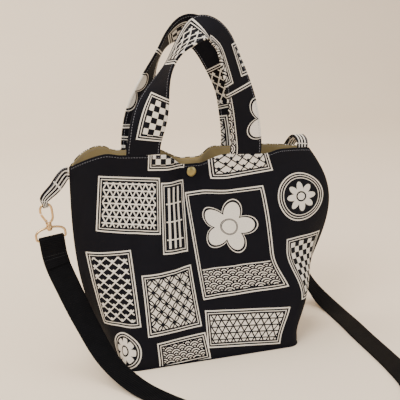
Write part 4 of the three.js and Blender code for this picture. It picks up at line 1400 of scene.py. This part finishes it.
def makeTabStitches(which):
    lines = stripLines([
        (point, across, apart, width / 2 - stitch["tabInset"], offset + tab["ply"] / 2 + stitch["proud"])
        for point, along, across, apart, offset, width in tabStations[which][1:stitch["tabReach"]]])
    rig.ride(makeStitches(which + "TabStitches", lines, stitch["tabPitch"]), "bag")


def makeStrapStitches():
    lines = []
    for run, direction in ((0, 1), (strapLength, -1)):
        for reach in stitch["strapRows"]:
            point, along, across, out, offset = strapStation(run + direction * reach)
            for face in (-1, 1):
                lift = out * (face * (offset + strap["thickness"] / 2 + stitch["proud"]))
                lines.append([plan(*(point + lift + across * w)) for w in stitch["strapAcross"]])
    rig.ride(makeStitches("strapEndStitches", lines, stitch["strapPitch"], blackThread), "bag")


makeRimStitches()
for which in ("front", "back"):
    makeHandleStitches(which)
for which in ("left", "right"):
    makeTabStitches(which)
makeStrapStitches()
print("stitches made")


# studio: a pale floor that curves up into a backdrop, and soft light; lengths in metres
studio = dict(
    floor=(0.94, 0.80, 0.64, 1), floorDark=(0.88, 0.74, 0.57, 1), room=(1.0, 0.94, 0.865, 1), roomLight=0.85,
    halfWidth=30, front=-30, bendStart=1.6, bendRadius=1.4, height=6,
    # name, place, aim, power, size, colour
    lights=(
        ("keyLight", (-1.3, -1.2, 1.8), (0, 0, 0.2), 46, 1.1, (1, 0.97, 0.93)),
        ("fillLight", (1.5, -1.0, 0.9), (0, 0, 0.2), 10, 1.3, (0.95, 0.97, 1)),
        ("wallLight", (-0.6, 0.5, 2.2), (-0.3, 2.4, 0.7), 60, 1.4, (1, 0.96, 0.9))))


def makeFloor():
    bend, radius = studio["bendStart"], studio["bendRadius"]
    profile = [(studio["front"], 0), (bend, 0)]
    for i in range(1, 25):
        angle = radians(90 * i / 24)
        profile.append((bend + radius * sin(angle), radius * (1 - cos(angle))))
    profile.append((profile[-1][0], studio["height"]))
    points = [(x, y, z) for y, z in profile for x in (-studio["halfWidth"], studio["halfWidth"])]
    faces = [(2 * i, 2 * i + 1, 2 * i + 3, 2 * i + 2) for i in range(len(profile) - 1)]
    material, shader = newMaterial("paleFloor")
    cloud = objectPlace(shader).grain(2.2, 3)
    setInputs(shader, {"Base Color": cloud.blend(studio["floorDark"], studio["floor"]), "Roughness": 0.75})
    floor = makePiece("studioFloor", points, faces, material)
    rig.stage(floor)


def makeLight():
    world = bpy.data.worlds.new("studioRoom")
    world.use_nodes = True
    setInputs(world.node_tree.nodes["Background"], {"Color": studio["room"], "Strength": studio["roomLight"]})
    scene.world = world
    for name, place, aim, power, size, colour in studio["lights"]:
        light = bpy.data.lights.new(name, "AREA")
        light.energy = power
        light.size = size
        light.color = colour
        lamp = addObject(name, light)
        lamp.location = place
        lamp.rotation_euler = (Vector(aim) - Vector(place)).to_track_quat("-Z", "Y").to_euler()


makeFloor()
makeLight()
print("studio made")

with open("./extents.json", "w") as sizeFile:
    json.dump({"cad": cadBox, "visual": [list(corner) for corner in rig.bounds()]}, sizeFile)
